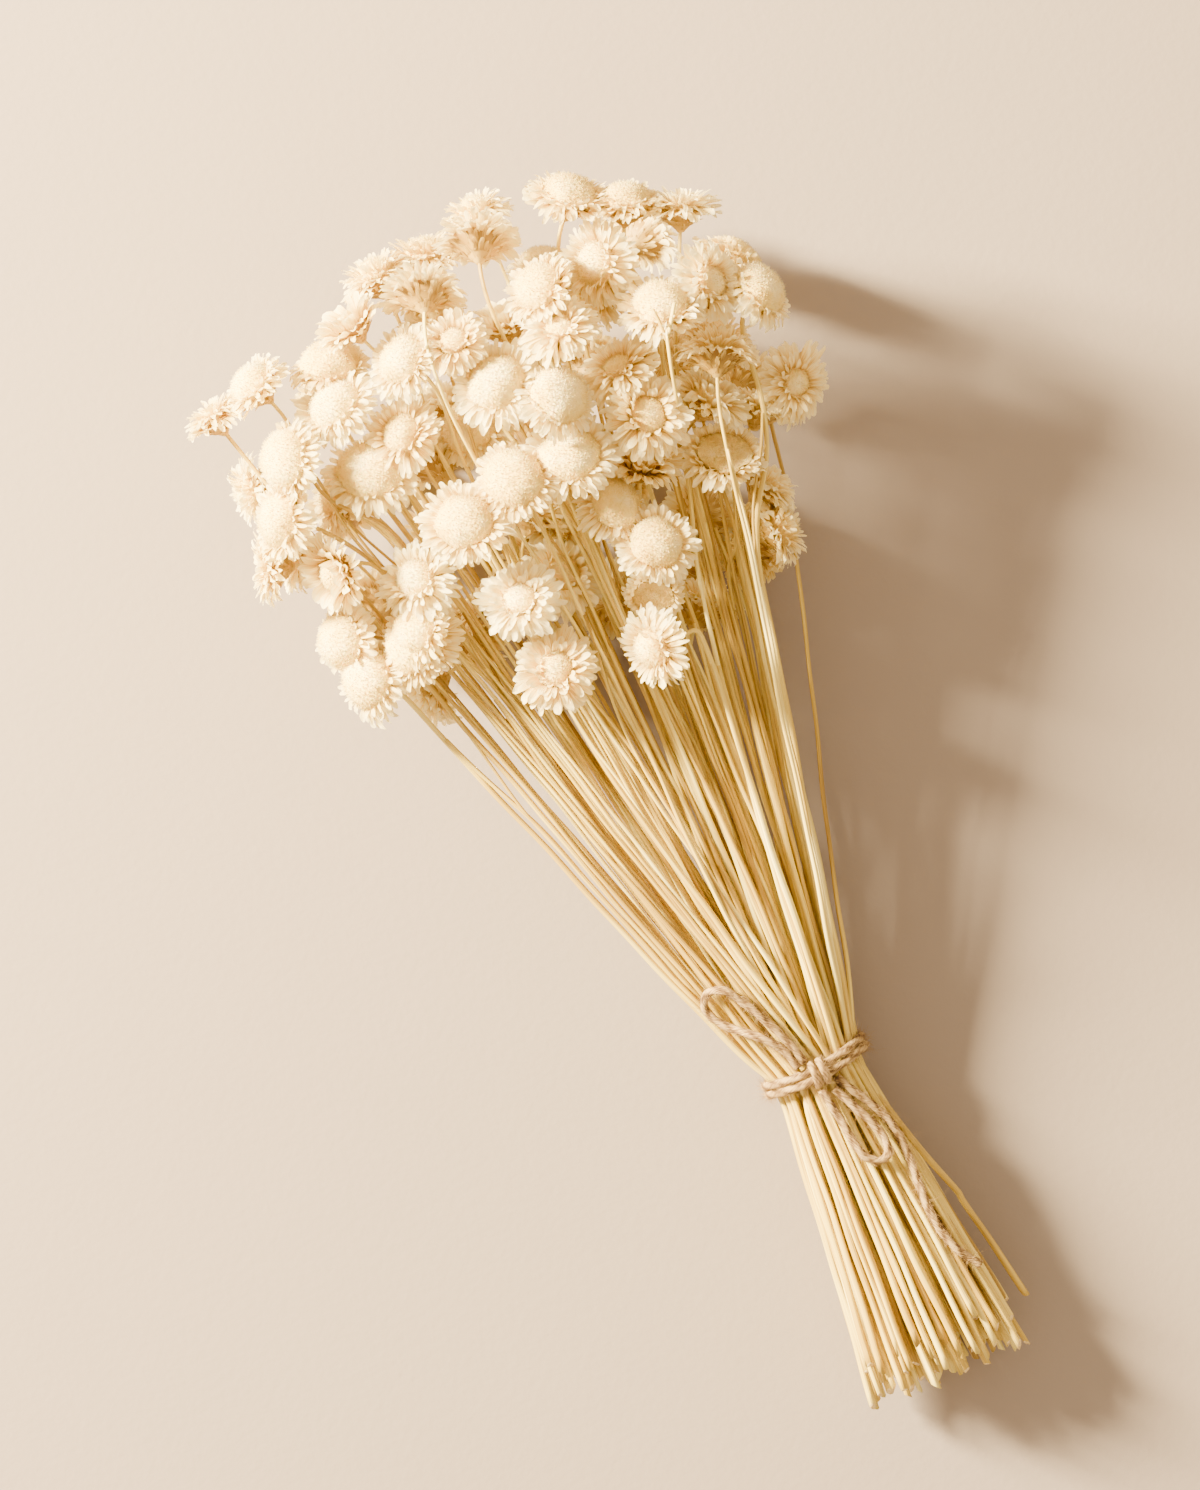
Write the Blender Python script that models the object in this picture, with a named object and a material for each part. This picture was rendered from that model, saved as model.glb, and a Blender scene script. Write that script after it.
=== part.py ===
"""Bundle of dried daisies, lying down.

About ninety straw stems are tied near their cut ends with a doubled jute twine and fan out
towards the flowers. Each stem carries one head: a felted, domed cream disc with a fringe of
papery petals, and a small calyx behind it. Two bows and a frayed tail hang from the knot.

The bunch points along +Y, +X is to its right seen from above, and it rests on the plane z = 0.
Its layout is worked out in millimetres round the tie, and moved to the origin at the end.
"""

import math

import bmesh
import bpy
import numpy as np
from mathutils import Matrix, Vector

MM = 0.001
SEED = 7

# The box of the whole bunch is centred on the origin in X and Y.
ORIGIN_SHIFT = (3.3, -75.6, 0.0)

# The view from above in which the heads were measured leans the bunch this far to the left.
VIEW_LEAN = math.radians(24)

# Stems, in millimetres
TIE_HEIGHT = 15.0
TIE_HALF_WIDTH = 10.7
TIE_HALF_HEIGHT = 10.0
TIE_RINGS = (1, 6, 12, 18, 24, 30)
CUT_LENGTH = 85.0
CUT_SHORTEST = 71.0
CUT_SPREAD = 11.0
CUT_RISE = 3.6
STEM_RADIUS_CUT = 1.1
STEM_RADIUS_TIE = 0.9
STEM_RADIUS_HEAD = 0.8
STATION = 8.0
STATIONS = 29
LINE_SLACK = 1.0
CORE_LENGTH = 5.0
RADIUS_AT = (-60.0, -20.0, 20.0, 60.0, 200.0)
RADII = (STEM_RADIUS_CUT, STEM_RADIUS_TIE, STEM_RADIUS_TIE, STEM_RADIUS_CUT, STEM_RADIUS_HEAD)
CALYX_GAP = 0.35

# One head of size 1, in millimetres: distance from its axis and height over the petals' roots
PETALS = 10
CALYX = (1.7, -5.2)
PETAL_TIP = (9.9, 0.1)
PETAL_NOTCH = (8.0, -0.2)
DOME_FOOT = (7.3, 1.2)
DOME_SHOULDER = (5.0, 4.9)
DOME_TOP = (0.0, 6.3)
CUP_TIP = (9.0, 1.9)
CUP_FOOT = (6.6, 1.4)
CUP_SHOULDER = (3.8, 1.9)
CUP_TOP = (0.0, 1.2)
NECK = 14.0
NECK_BEND = 4.0

# The convex outline that a head keeps free of its neighbours
OUTLINE = ((0, 6.6), (4.4, 6.0), (7.8, 3.4), (10.0, 0.6), (10.0, -0.4), (6.0, -3.4), (2.0, -5.4), (0, -5.6))
RIM_SAMPLES = ((4.4, 6.0, 5), (7.8, 3.4, 8), (10.0, 0.1, 14), (6.0, -3.4, 7), (2.0, -5.4, 3))

# Heads that show from above: millimetres right of the knot and up from it in the view, the
# way the face turns (clockwise from up) and lifts towards the eye in degrees, how many heads
# deep it lies, and its size.
DOMES_SEEN = (
    (-154, 162, -35, 12, 0, 0.84), (-137, 173, -48, 22, 0, 0.92), (-123, 178, -5, 35, 0, 0.95),
    (-110, 195, -30, 12, 0, 0.95), (-107, 177, -60, 50, 0, 0.95), (-99, 195, -10, -35, 0, 1.0),
    (-97, 204, -10, 10, 1, 0.95), (-86, 216, -25, 12, 0, 0.86), (-85, 206, -5, -30, 0, 1.08),
    (-62, 215, 10, 32, 0, 0.98), (-49, 217, 5, 20, 0, 0.92), (-34, 215, 0, 8, 0, 0.95),
    (-54, 204, -100, 50, 0, 1.08), (-52, 196, -130, 40, 1, 1.0), (-30, 197, 80, 45, 0, 1.0),
    (-16, 194, 45, 25, 0, 0.98), (-6, 173, 80, 55, 0, 1.05), (-42, 186, -10, 40, 0, 1.08),
    (-26, 186, 20, 20, 1, 1.0), (-25, 178, 0, -15, 0, 0.98), (-51, 176, -30, 45, 0, 1.0),
    (-44, 166, 60, 75, 0, 1.1), (-30, 169, 30, 20, 1, 1.0), (-17, 165, 10, 8, 1, 0.95),
    (-70, 195, -60, 40, 0, 1.0), (-75, 202, 0, 20, 1, 0.95), (-64, 184, -20, 50, 0, 1.0),
    (-95, 187, -20, 12, 0, 0.95), (-87, 181, -20, 60, 0, 0.85), (-80, 172, -30, 65, 0, 1.08),
    (-65, 171, 40, 45, 0, 1.02), (-119, 164, -45, 40, 0, 1.0), (-106, 160, -40, 65, 0, 1.0),
    (-112, 151, -20, 55, 0, 1.08), (-130, 154, -80, 35, 0, 1.0), (-132, 141, -90, 35, 0, 1.0),
    (-142, 146, -110, 5, 1, 0.95), (-116, 137, -60, 20, 1, 1.0), (-138, 124, -92, 5, 0, 0.95),
    (-120, 110, -100, 35, 0, 1.0), (-112, 97, -80, 45, 0, 1.05), (-102, 106, -60, 55, 0, 1.05),
    (-96, 112, -70, 50, 0, 0.95), (-101, 124, -50, 55, 0, 1.05), (-89, 136, -50, 70, 0, 1.08),
    (-77, 148, -30, 60, 0, 1.02), (-60, 156, -20, 65, 0, 1.15), (-81, 156, -30, 50, 1, 1.0),
    (-51, 145, 40, 40, 1, 0.95), (-41, 132, 20, 75, 0, 1.0), (-41, 107, -110, 35, 0, 1.0),
    (-74, 119, -60, 70, 0, 1.0), (-64, 122, 30, 50, 1, 1.1), (-26, 114, 20, -20, 2, 1.0),
    (-17, 146, 40, 8, 1, 0.95), (-17, 137, 70, 10, 1, 1.0), (-72, 140, 20, 12, 1, 0.95),
    (-65, 135, 0, 50, 2, 1.0), (-96, 169, -20, -10, 1, 1.0), (-99, 152, -30, -20, 2, 1.0),
    (-82, 119, -50, 5, 2, 1.0), (-97, 96, -120, -10, 1, 1.0),
)
CUPS_SEEN = (
    (-117, 188, -40, 18, 0, 0.95), (-80, 189, -20, 12, 0, 1.0), (-25, 156, 10, 50, 1, 1.0),
    (-121, 124, -120, 35, 0, 1.0), (-43, 121, 180, 45, 1, 0.8), (-66, 101, 0, 72, 0, 1.05),
    (-41, 154, 10, 35, 1, 1.02), (-130, 131, -100, 25, 1, 0.95),
)
LAYER_DROP = 13.0

# Three heads face straight down and carry the bunch, at these places (right of the axis, along it)
RESTING = ((-36.0, 184.0), (38.0, 180.0), (2.0, 130.0))
RESTING_SIZE = 1.05
RESTING_CUT = 0.9

# The heads that the view doesn't show lie under the rest, spread evenly
HIDDEN = 18
HIDDEN_FROM = 118.0
HIDDEN_LENGTH = 95.0

# Heads that press into each other share a node
HEAD_NODES = 55
CORE_SCALE = 0.8
CORE_DEPTH = 0.8

# Twine, in millimetres
TWINE_RADIUS = 1.1
TWINE_GAP = 0.7
STRANDS = (-1.2, 1.2)
KNOT_TURNS = (-1.15, 1.15)
KNOT_RADIUS = 2.3
# Routes from above, in the view's own millimetres right of the knot and up from it
BOW_LEFT = (
    (-3.6, 2.6), (-7.0, 7.0), (-13.0, 12.8), (-19.0, 17.8), (-24.0, 20.8), (-27.6, 20.2),
    (-28.8, 17.2), (-27.0, 14.0), (-22.5, 11.3), (-16.0, 9.3), (-9.5, 6.2), (-5.0, 1.2),
)
BOW_RIGHT = (
    (0.9, -4.4), (3.0, -8.0), (6.2, -12.8), (8.8, -17.4), (11.4, -20.8), (15.0, -22.2),
    (17.6, -20.4), (16.8, -16.8), (13.4, -12.4), (8.6, -8.2), (4.0, -4.0),
)
TAIL = (
    (4.6, -1.2), (8.6, -4.4), (13.4, -8.0), (18.0, -12.4), (21.4, -18.0), (23.6, -23.4),
    (25.6, -28.8), (27.8, -34.4), (31.0, -40.0), (35.6, -45.0), (41.0, -48.4),
)


def seen(across, up):
    """A place in the leaning view, turned into the bunch's own X and Y."""
    c, s = math.cos(VIEW_LEAN), math.sin(VIEW_LEAN)
    return c * across + s * up, c * up - s * across


def axis_height(y):
    """Height of the bunch's middle line: low at the tie, lifted by the flowers."""
    return np.interp(y, (-90.0, 0.0, 60.0, 170.0, 240.0), (14.0, TIE_HEIGHT, 24.0, 39.0, 41.0))


def half_width(y):
    return 22.0 + 0.36 * y


def half_height(y):
    """Half the height of the fan of heads, which closes to a crown past its middle."""
    past = np.maximum(y - 150.0, 0.0) / 92.0
    return (12.0 + 0.10 * y) * np.sqrt(np.clip(1.0 - past**2, 0.08, 1.0))


def outline_planes():
    """Each side of the outline as an outward normal and its distance."""
    points = np.array(OUTLINE, float)
    run = points[1:] - points[:-1]
    normal = np.stack([-run[:, 1], run[:, 0]], 1)
    normal /= np.linalg.norm(normal, axis=1, keepdims=True)
    far = (normal * points[:-1]).sum(1)
    normal[normal[:, 0] > far] *= -1.0
    return normal, (normal * points[:-1]).sum(1)


def outline_samples():
    points = [(0.0, 0.0, OUTLINE[0][1])]
    for radius, height, count in RIM_SAMPLES:
        turns = 2.0 * math.pi * np.arange(count) / count
        points += [(radius * math.cos(t), radius * math.sin(t), height) for t in turns]
    return np.array(points)


NORMALS, FARS = outline_planes()
SAMPLES = outline_samples()


def bases(axes):
    """For each head two directions across its face, and the way it faces."""
    up = np.where(np.abs(axes[:, 2:3]) < 0.9, [[0.0, 0.0, 1.0]], [[0.0, 1.0, 0.0]])
    side = np.cross(up, axes)
    side /= np.linalg.norm(side, axis=1, keepdims=True)
    return np.stack([side, np.cross(axes, side), axes], 1)


def outside(points, centres, axes, sizes):
    """How far points lie outside a head's outline, and the way out of it."""
    arm = points - centres
    height = (arm * axes).sum(-1)
    side = arm - height[..., None] * axes
    radius = np.linalg.norm(side, axis=-1) + 1e-6
    flat = radius[..., None] * NORMALS[:, 0] + height[..., None] * NORMALS[:, 1]
    reach = flat - FARS * sizes[..., None]
    nearest = reach.argmax(-1)
    normal = NORMALS[nearest]
    way = normal[..., :1] * side / radius[..., None] + normal[..., 1:] * axes
    return np.take_along_axis(reach, nearest[..., None], -1)[..., 0], way


class Heads:
    """Places, facing directions and sizes of all heads, in millimetres round the tie."""

    def __init__(self):
        self.centres, self.axes, self.sizes, self.cups, self.layers = [], [], [], [], []
        for rows, is_cup in ((DOMES_SEEN, False), (CUPS_SEEN, True)):
            for row in rows:
                self.add_seen(row, is_cup)
        self.add_hidden()
        self.add_resting()
        self.centres = np.array(self.centres, float)
        self.axes = np.array(self.axes, float)
        self.sizes = np.array(self.sizes, float)
        self.layers = np.array(self.layers)
        self.resting = self.layers == 4
        self.homes = self.centres.copy()
        self.local = np.einsum("sk,nkj->nsj", SAMPLES, bases(self.axes)) * self.sizes[:, None, None]

    def add(self, centre, axis, size, is_cup, layer):
        self.centres.append(centre)
        self.axes.append(axis)
        self.sizes.append(size)
        self.cups.append(is_cup)
        self.layers.append(layer)

    def add_seen(self, row, is_cup):
        across, up, turn, lift, layer, size = row
        x, y = seen(across, up)
        bulge = math.sqrt(max(0.06, 1.0 - (x / half_width(y)) ** 2))
        z = axis_height(y) + half_height(y) * bulge - LAYER_DROP * layer
        turn, lift = math.radians(turn), math.radians(lift)
        face = seen(math.sin(turn), math.cos(turn))
        axis = (face[0] * math.cos(lift), face[1] * math.cos(lift), math.sin(lift))
        self.add((x, y, z), axis, size, is_cup, layer)

    def add_hidden(self):
        rng = np.random.default_rng(SEED)
        for n in range(HIDDEN):
            y = HIDDEN_FROM + HIDDEN_LENGTH * (n + 0.5) / HIDDEN
            spread = (n * 0.618034 + 0.3) % 1.0 - 0.5
            x = spread * 1.64 * (half_width(y) - 8.0)
            for rest_x, rest_y in RESTING:
                if math.hypot(x - rest_x, y - rest_y) < 15.0:
                    x = rest_x + math.copysign(16.0, x - rest_x)
            bulge = math.sqrt(max(0.05, 1.0 - (x / half_width(y)) ** 2))
            z = max(axis_height(y) - half_height(y) * bulge, 9.0)
            face = np.array((x / 60.0, (y - 120.0) / 120.0, -1.1 * bulge)) + rng.normal(0.0, 0.25, 3)
            self.add((x, y, z), face / np.linalg.norm(face), rng.uniform(0.92, 1.05), False, 3)

    def add_resting(self):
        z = DOME_TOP[1] * RESTING_SIZE - RESTING_CUT
        for x, y in RESTING:
            self.add((x, y, z), (0.0, 0.0, -1.0), RESTING_SIZE, False, 4)

    def stem_ends(self):
        """The point just behind each calyx where its stem ends."""
        return self.centres + self.axes * (CALYX[1] * self.sizes - CALYX_GAP)[:, None]

    def necks(self):
        """The point behind each head where its stem straightens out."""
        return self.centres - self.axes * (NECK * self.sizes)[:, None]


def tie_places(heads):
    """Where each stem passes the tie: rings filled from the heads nearest the axis outwards."""
    centres = heads.centres
    lean = np.stack([centres[:, 0] / 0.40, (centres[:, 2] - axis_height(centres[:, 1])) / 0.20], 1)
    lean /= centres[:, 1:2]
    order = np.argsort(np.hypot(*lean.T), kind="stable")
    places = np.zeros((len(centres), 2))
    first = 0
    for ring, count in enumerate(TIE_RINGS):
        members = order[first:first + count]
        first += count
        angles = np.arctan2(lean[members, 1], lean[members, 0])
        members = members[np.argsort(angles, kind="stable")]
        even = 2.0 * math.pi * np.arange(count) / count
        offset = np.angle(np.exp(1j * (np.sort(angles) - even)).mean())
        radius = ring / (len(TIE_RINGS) - 1)
        places[members] = radius * np.stack([np.cos(even + offset), np.sin(even + offset)], 1)
    return places


class Stems:
    """Stem lines from the tie to the heads, at stations a fixed step apart along Y."""

    def __init__(self, heads, places):
        self.places = places
        count = len(places)
        self.along = np.arange(1, STATIONS + 1) * STATION
        self.tie = np.stack([places[:, 0] * TIE_HALF_WIDTH, places[:, 1] * TIE_HALF_HEIGHT + TIE_HEIGHT], 1)
        necks = heads.necks()
        self.last = np.floor((necks[:, 1] - 4.0) / STATION).astype(int)
        self.used = np.arange(STATIONS)[None, :] < self.last[:, None]
        part = (self.along[None, :] / necks[:, 1:2])[..., None] ** 1.15
        self.lines = self.tie[:, None] + (necks[:, None, [0, 2]] - self.tie[:, None]) * part
        self.radii = np.interp(self.along, (0.0, 200.0), (STEM_RADIUS_CUT, STEM_RADIUS_HEAD))
        self.owners = np.arange(count)
        self.bends = np.zeros((count, 3))

    def necks(self, heads):
        return heads.necks() + self.bends

    def points(self):
        along = np.broadcast_to(self.along, self.lines.shape[:2])
        return np.stack([self.lines[..., 0], along, self.lines[..., 1]], -1)

    def smooth(self, heads, amount):
        """Each station moves towards the middle of its neighbours, from the tie to the neck."""
        ends = np.concatenate([self.tie[:, None], self.lines, self.lines[:, -1:]], 1)
        ends[self.owners, self.last + 1] = self.necks(heads)[:, [0, 2]]
        middle = (ends[:, :-2] + ends[:, 2:]) / 2.0
        self.lines += np.where(self.used[..., None], amount * (middle - self.lines), 0.0)
        self.lines[..., 1] = np.maximum(self.lines[..., 1], self.radii + 0.3)

    def part_from_each_other(self):
        away = self.lines[:, None] - self.lines[None]
        gap = np.sqrt((away**2).sum(-1)) + 1e-6
        both = self.used[:, None] & self.used[None]
        need = 2.0 * self.radii + 0.5
        amount = np.where(both & (gap < need), (need - gap) / gap * 0.35, 0.0)
        self.lines += (away * amount[..., None]).sum(1)


def deepest_reach(heads, one, other, scale):
    """How far the nearest outline point of each head lies outside another head, and the way out."""
    points = heads.centres[one][:, None] + heads.local[one] * scale[:, None, None]
    centres, axes = heads.centres[other][:, None], heads.axes[other][:, None]
    reach, way = outside(points, centres, axes, (heads.sizes[other] * scale)[:, None])
    rows = np.arange(len(one))
    deepest = reach.argmin(1)
    return reach[rows, deepest], way[rows, deepest]


def part_heads(heads, linked, near, move):
    """Neighbouring heads push apart, and the solid cores of linked ones are drawn together."""
    one, other = near
    both = linked[one, other]
    reach, way = deepest_reach(heads, one, other, np.where(both, CORE_SCALE, 1.0))
    depth = np.where(both, np.clip(-CORE_DEPTH - reach, -2.0, 9.0), np.clip(0.7 - reach, 0.0, 9.0))
    push = way * (depth * 0.3)[:, None]
    np.add.at(move, one, push)
    np.add.at(move, other, -push)


def sideways(way, arm):
    """The way out of a head for a stem that runs along Y: across it, never along it."""
    aside = way * (1.0, 0.0, 1.0)
    arm = arm * (1.0, 0.0, 1.0)
    arm /= np.linalg.norm(arm, axis=1, keepdims=True) + 1e-6
    weak = 1.0 - np.linalg.norm(aside, axis=1, keepdims=True)
    return aside + arm * weak * 0.7


def part_stems(heads, stems, move):
    """Stems bend clear of the heads that they pass, and push them a little."""
    points = stems.points()
    owner, station = np.nonzero(stems.used)
    flat = points[owner, station]
    gap = np.linalg.norm(flat[:, None] - heads.centres[None], axis=-1)
    row, head = np.nonzero(gap < 15.0)
    reach, way = outside(flat[row], heads.centres[head], heads.axes[head], heads.sizes[head])
    depth = np.clip(stems.radii[station[row]] + 1.1 - reach, 0.0, 6.0)
    depth[(owner[row] == head) & (gap[row, head] < 9.0)] = 0.0
    aside = sideways(way, flat[row] - heads.centres[head])
    bend = np.zeros_like(points)
    np.add.at(bend, (owner[row], station[row]), aside * (depth * 0.5)[:, None])
    stems.lines += bend[..., [0, 2]]
    np.add.at(move, head, -way * (depth * 0.2)[:, None])


def part_necks(heads, stems, move):
    """The upper end of each stem, from its last station to its head, clears the other heads."""
    necks = stems.necks(heads)
    tips = heads.stem_ends()
    ends = stems.points()[stems.owners, stems.last - 1]
    runs = ((tips, necks, 0.0, 0.0), (tips, necks, 0.4, 0.4), (tips, necks, 1.0, 1.0),
            (necks, ends, 0.35, 0.65), (necks, ends, 0.7, 0.3))
    for a, b, part, give in runs:
        points = a + (b - a) * part
        gap = np.linalg.norm(points[:, None] - heads.centres[None], axis=-1)
        np.fill_diagonal(gap, 99.0)
        owner, head = np.nonzero(gap < 15.0)
        reach, way = outside(points[owner], heads.centres[head], heads.axes[head], heads.sizes[head])
        push = way * (np.clip(STEM_RADIUS_HEAD + 0.9 - reach, 0.0, 6.0) * 0.2)[:, None]
        np.add.at(stems.bends, owner, 2.0 * give * push)
        np.add.at(move, owner, push)
        np.add.at(move, head, -push)
    stems.bends = np.clip(stems.bends * 0.985, -NECK_BEND, NECK_BEND)


def settle(heads, stems, linked, rounds, stiffness):
    """Heads and stems push each other clear while springs hold the heads near their places."""
    hold = np.where(heads.layers == 0, 0.10, 0.04)
    hold[heads.resting] = 0.3
    for turn in range(rounds):
        if turn % 8 == 0:
            gap = np.linalg.norm(heads.centres[:, None] - heads.centres[None], axis=-1)
            np.fill_diagonal(gap, 99.0)
            near = np.nonzero(gap < 25.0)
        move = np.zeros_like(heads.centres)
        part_heads(heads, linked, near, move)
        stems.part_from_each_other()
        stems.smooth(heads, stiffness)
        part_necks(heads, stems, move)
        part_stems(heads, stems, move)
        back = heads.homes - heads.centres
        move[:, :2] += back[:, :2] * hold[:, None]
        move[:, 2] += back[:, 2] * 0.02
        move[heads.resting, 2] = 0.0
        heads.centres += np.clip(move, -1.5, 1.5)
        low = (heads.centres[:, None] + heads.local)[..., 2].min(1)
        sunk = np.maximum(0.0, -0.5 - low)
        sunk[heads.resting] = 0.0
        heads.centres[:, 2] += sunk


def distance_apart(heads, i, j):
    """How ill two heads suit one node: far apart, turned another way, or over a stem's end."""
    one, other = np.array((i, j)), np.array((j, i))
    gap = np.linalg.norm(heads.centres[i] - heads.centres[j])
    reach, _ = deepest_reach(heads, one, other, np.ones(2))
    ends = heads.stem_ends()[one]
    clear, _ = outside(ends, heads.centres[other], heads.axes[other], heads.sizes[other])
    score = reach.min() + 0.12 * gap - 2.0 * abs(float(heads.axes[i] @ heads.axes[j]))
    return score + 4.0 * max(0.0, 2.5 - clear.min())


def choose_groups(heads, nodes):
    """Heads that lie closest share a node: pairs first, then threes, until the nodes are few enough."""
    total = len(heads.centres)
    gap = np.linalg.norm(heads.centres[:, None] - heads.centres[None], axis=-1)
    for single in (heads.resting, np.array(heads.cups)):
        gap[single] = gap[:, single] = 99.0
    found = sorted((distance_apart(heads, i, j), i, j) for i, j in zip(*np.nonzero(np.triu(gap < 22.0, 1))))
    group = np.arange(total)
    linked = np.zeros((total, total), bool)
    for most in (2, 3):
        for _, i, j in found:
            joined = (group == group[i]) | (group == group[j])
            if len(set(group)) > nodes and group[i] != group[j] and joined.sum() <= most:
                group[joined] = min(group[i], group[j])
                linked[i, j] = linked[j, i] = True
    return group, linked


def join_pressed(heads, group):
    """Heads of two nodes that still press into each other are made one node."""
    gap = np.linalg.norm(heads.centres[:, None] - heads.centres[None], axis=-1)
    one, other = np.nonzero((gap < 25.0) & (group[:, None] != group[None]))
    reach, _ = deepest_reach(heads, one, other, np.ones(len(one)))
    for i, j, deep in zip(one, other, reach):
        if deep < -0.3:
            group[group == group[j]] = group[i]


def close_up(heads, linked):
    """Heads of one node that still hardly meet move the rest of the way towards each other."""
    for i, j in zip(*np.nonzero(np.triu(linked, 1))):
        reach, _ = deepest_reach(heads, np.array((i, j)), np.array((j, i)), np.full(2, CORE_SCALE))
        way = heads.centres[j] - heads.centres[i]
        step = way / np.linalg.norm(way) * max(0.0, reach.min() + CORE_DEPTH) / 2.0
        heads.centres[i] += step
        heads.centres[j] -= step


def make_layout():
    heads = Heads()
    stems = Stems(heads, tie_places(heads))
    alone = np.zeros((len(heads.centres),) * 2, bool)
    settle(heads, stems, alone, 140, 0.35)
    group, linked = choose_groups(heads, HEAD_NODES)
    heads.homes = heads.centres.copy()
    for rounds, stiffness in ((120, 0.35), (60, 0.12), (140, 0.05)):
        settle(heads, stems, linked, rounds, stiffness)
    close_up(heads, linked)
    join_pressed(heads, group)
    return heads, stems, group


def smooth_curve(points, step):
    """Points on a Catmull-Rom curve through the given ones, about a step apart."""
    points = np.array(points, float)
    ends = np.concatenate([[2 * points[0] - points[1]], points, [2 * points[-1] - points[-2]]])
    found = []
    for a, b, c, d in zip(ends[:-3], ends[1:-2], ends[2:-1], ends[3:]):
        count = max(1, round(np.linalg.norm(c - b) / step))
        for t in np.arange(count) / count:
            found.append(
                0.5 * (2 * b + (c - a) * t + (2 * a - 5 * b + 4 * c - d) * t**2 + (3 * b - a - 3 * c + d) * t**3)
            )
    found.append(points[-1])
    return np.array(found)


def simplify(points, slack):
    """The fewest of these points whose straight runs stay within the slack of all of them."""
    if len(points) < 3:
        return list(points)
    run = points[-1] - points[0]
    along = np.clip(((points - points[0]) @ run) / (run @ run), 0.0, 1.0)
    off = np.linalg.norm(points - points[0] - along[:, None] * run, axis=1)
    worst = int(off.argmax())
    if off[worst] < slack:
        return [points[0], points[-1]]
    return simplify(points[:worst + 1], slack)[:-1] + simplify(points[worst:], slack)


def cut_end(place, number):
    """The cut end of a stem: past the tie the stems spread again, each to its own length."""
    length = CUT_SHORTEST + (CUT_LENGTH - CUT_SHORTEST) * ((number * 0.618034 + 0.15) % 1.0)
    part = length / CUT_LENGTH
    x = place[0] * (TIE_HALF_WIDTH + CUT_SPREAD * part)
    z = 14.0 + place[1] * (TIE_HALF_HEIGHT + CUT_RISE * part)
    return np.array((x, -length, z))


def clear_of_heads(line, heads, number):
    """Bends a stem's straight runs until they pass the heads with a small gap."""
    line = np.array(line)
    free = np.ones(len(line))
    free[:3] = free[-1] = 0.0
    for _ in range(30):
        starts, parts = [], []
        for k in range(2, len(line) - 1):
            count = max(2, round(np.linalg.norm(line[k + 1] - line[k]) / 1.5))
            starts += [k] * count
            parts += list(np.arange(count) / count)
        starts, parts = np.array(starts), np.array(parts)[:, None]
        points = line[starts] * (1.0 - parts) + line[starts + 1] * parts
        gap = np.linalg.norm(points[:, None] - heads.centres[None], axis=-1)
        row, head = np.nonzero(gap < 13.0)
        reach, way = outside(points[row], heads.centres[head], heads.axes[head], heads.sizes[head])
        depth = np.interp(points[row, 1], RADIUS_AT, RADII) + 0.35 - reach
        depth[(head == number) & (gap[row, head] < 9.0)] = 0.0
        depth = np.clip(depth, 0.0, 3.0)
        if depth.max(initial=0.0) < 0.05:
            break
        push = way * (depth * 0.5)[:, None]
        shift = np.zeros_like(line)
        np.add.at(shift, starts[row], push * (1.0 - parts[row]))
        np.add.at(shift, starts[row] + 1, push * parts[row])
        line += np.clip(shift, -0.8, 0.8) * free[:, None]
    return list(line)


def stop_before(line, heads, number):
    """Where the last run would end inside a head fused to the stem's own, the stem stops at its outside."""
    base, end = line[-2], line[-1]
    others = np.arange(len(heads.centres)) != number
    for part in np.arange(1.0, 0.1, -0.05):
        spot = base + (end - base) * part
        reach, _ = outside(spot, heads.centres[others], heads.axes[others], heads.sizes[others])
        if reach.min() > STEM_RADIUS_HEAD + CALYX_GAP:
            break
    return line[:-1] + [spot]


def stem_line(heads, stems, number):
    """The whole line of one stem, from its cut end through the tie to just behind its calyx."""
    x, z = stems.tie[number]
    end = cut_end(stems.places[number], number)
    middle = np.array((x, -CORE_LENGTH / 2.0, z))
    upper = [np.array((x, CORE_LENGTH / 2.0, z))] + list(stems.points()[number, :stems.last[number]])
    base = heads.stem_ends()[number]
    neck = stems.necks(heads)[number]
    fine = smooth_curve(upper + [neck, (neck + base) / 2.0, base], 3.0)
    line = clear_of_heads([end, middle] + simplify(fine, LINE_SLACK), heads, number)
    return stop_before(line, heads, number)


def material(name, colour, roughness):
    made = bpy.data.materials.new(name)
    made.use_nodes = True
    shader = made.node_tree.nodes["Principled BSDF"]
    shader.inputs["Base Color"].default_value = (*colour, 1.0)
    shader.inputs["Roughness"].default_value = roughness
    shader.inputs["Metallic"].default_value = 0.0
    return made


def add_mesh(name, bm, collection, finish=None):
    mesh = bpy.data.meshes.new(name)
    bm.to_mesh(mesh)
    bm.free()
    obj = bpy.data.objects.new(name, mesh)
    collection.objects.link(obj)
    if finish:
        mesh.materials.append(finish)
    return obj


def bridge(bm, inner, outer):
    """Triangles between two closed rings, stepping along whichever ring lags behind."""
    i = j = 0
    while i < len(inner) or j < len(outer):
        a, b = inner[i % len(inner)], outer[j % len(outer)]
        if (i + 0.5) / len(inner) < (j + 0.5) / len(outer):
            i += 1
            bm.faces.new((a, inner[i % len(inner)], b))
        else:
            j += 1
            bm.faces.new((a, outer[j % len(outer)], b))


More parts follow.
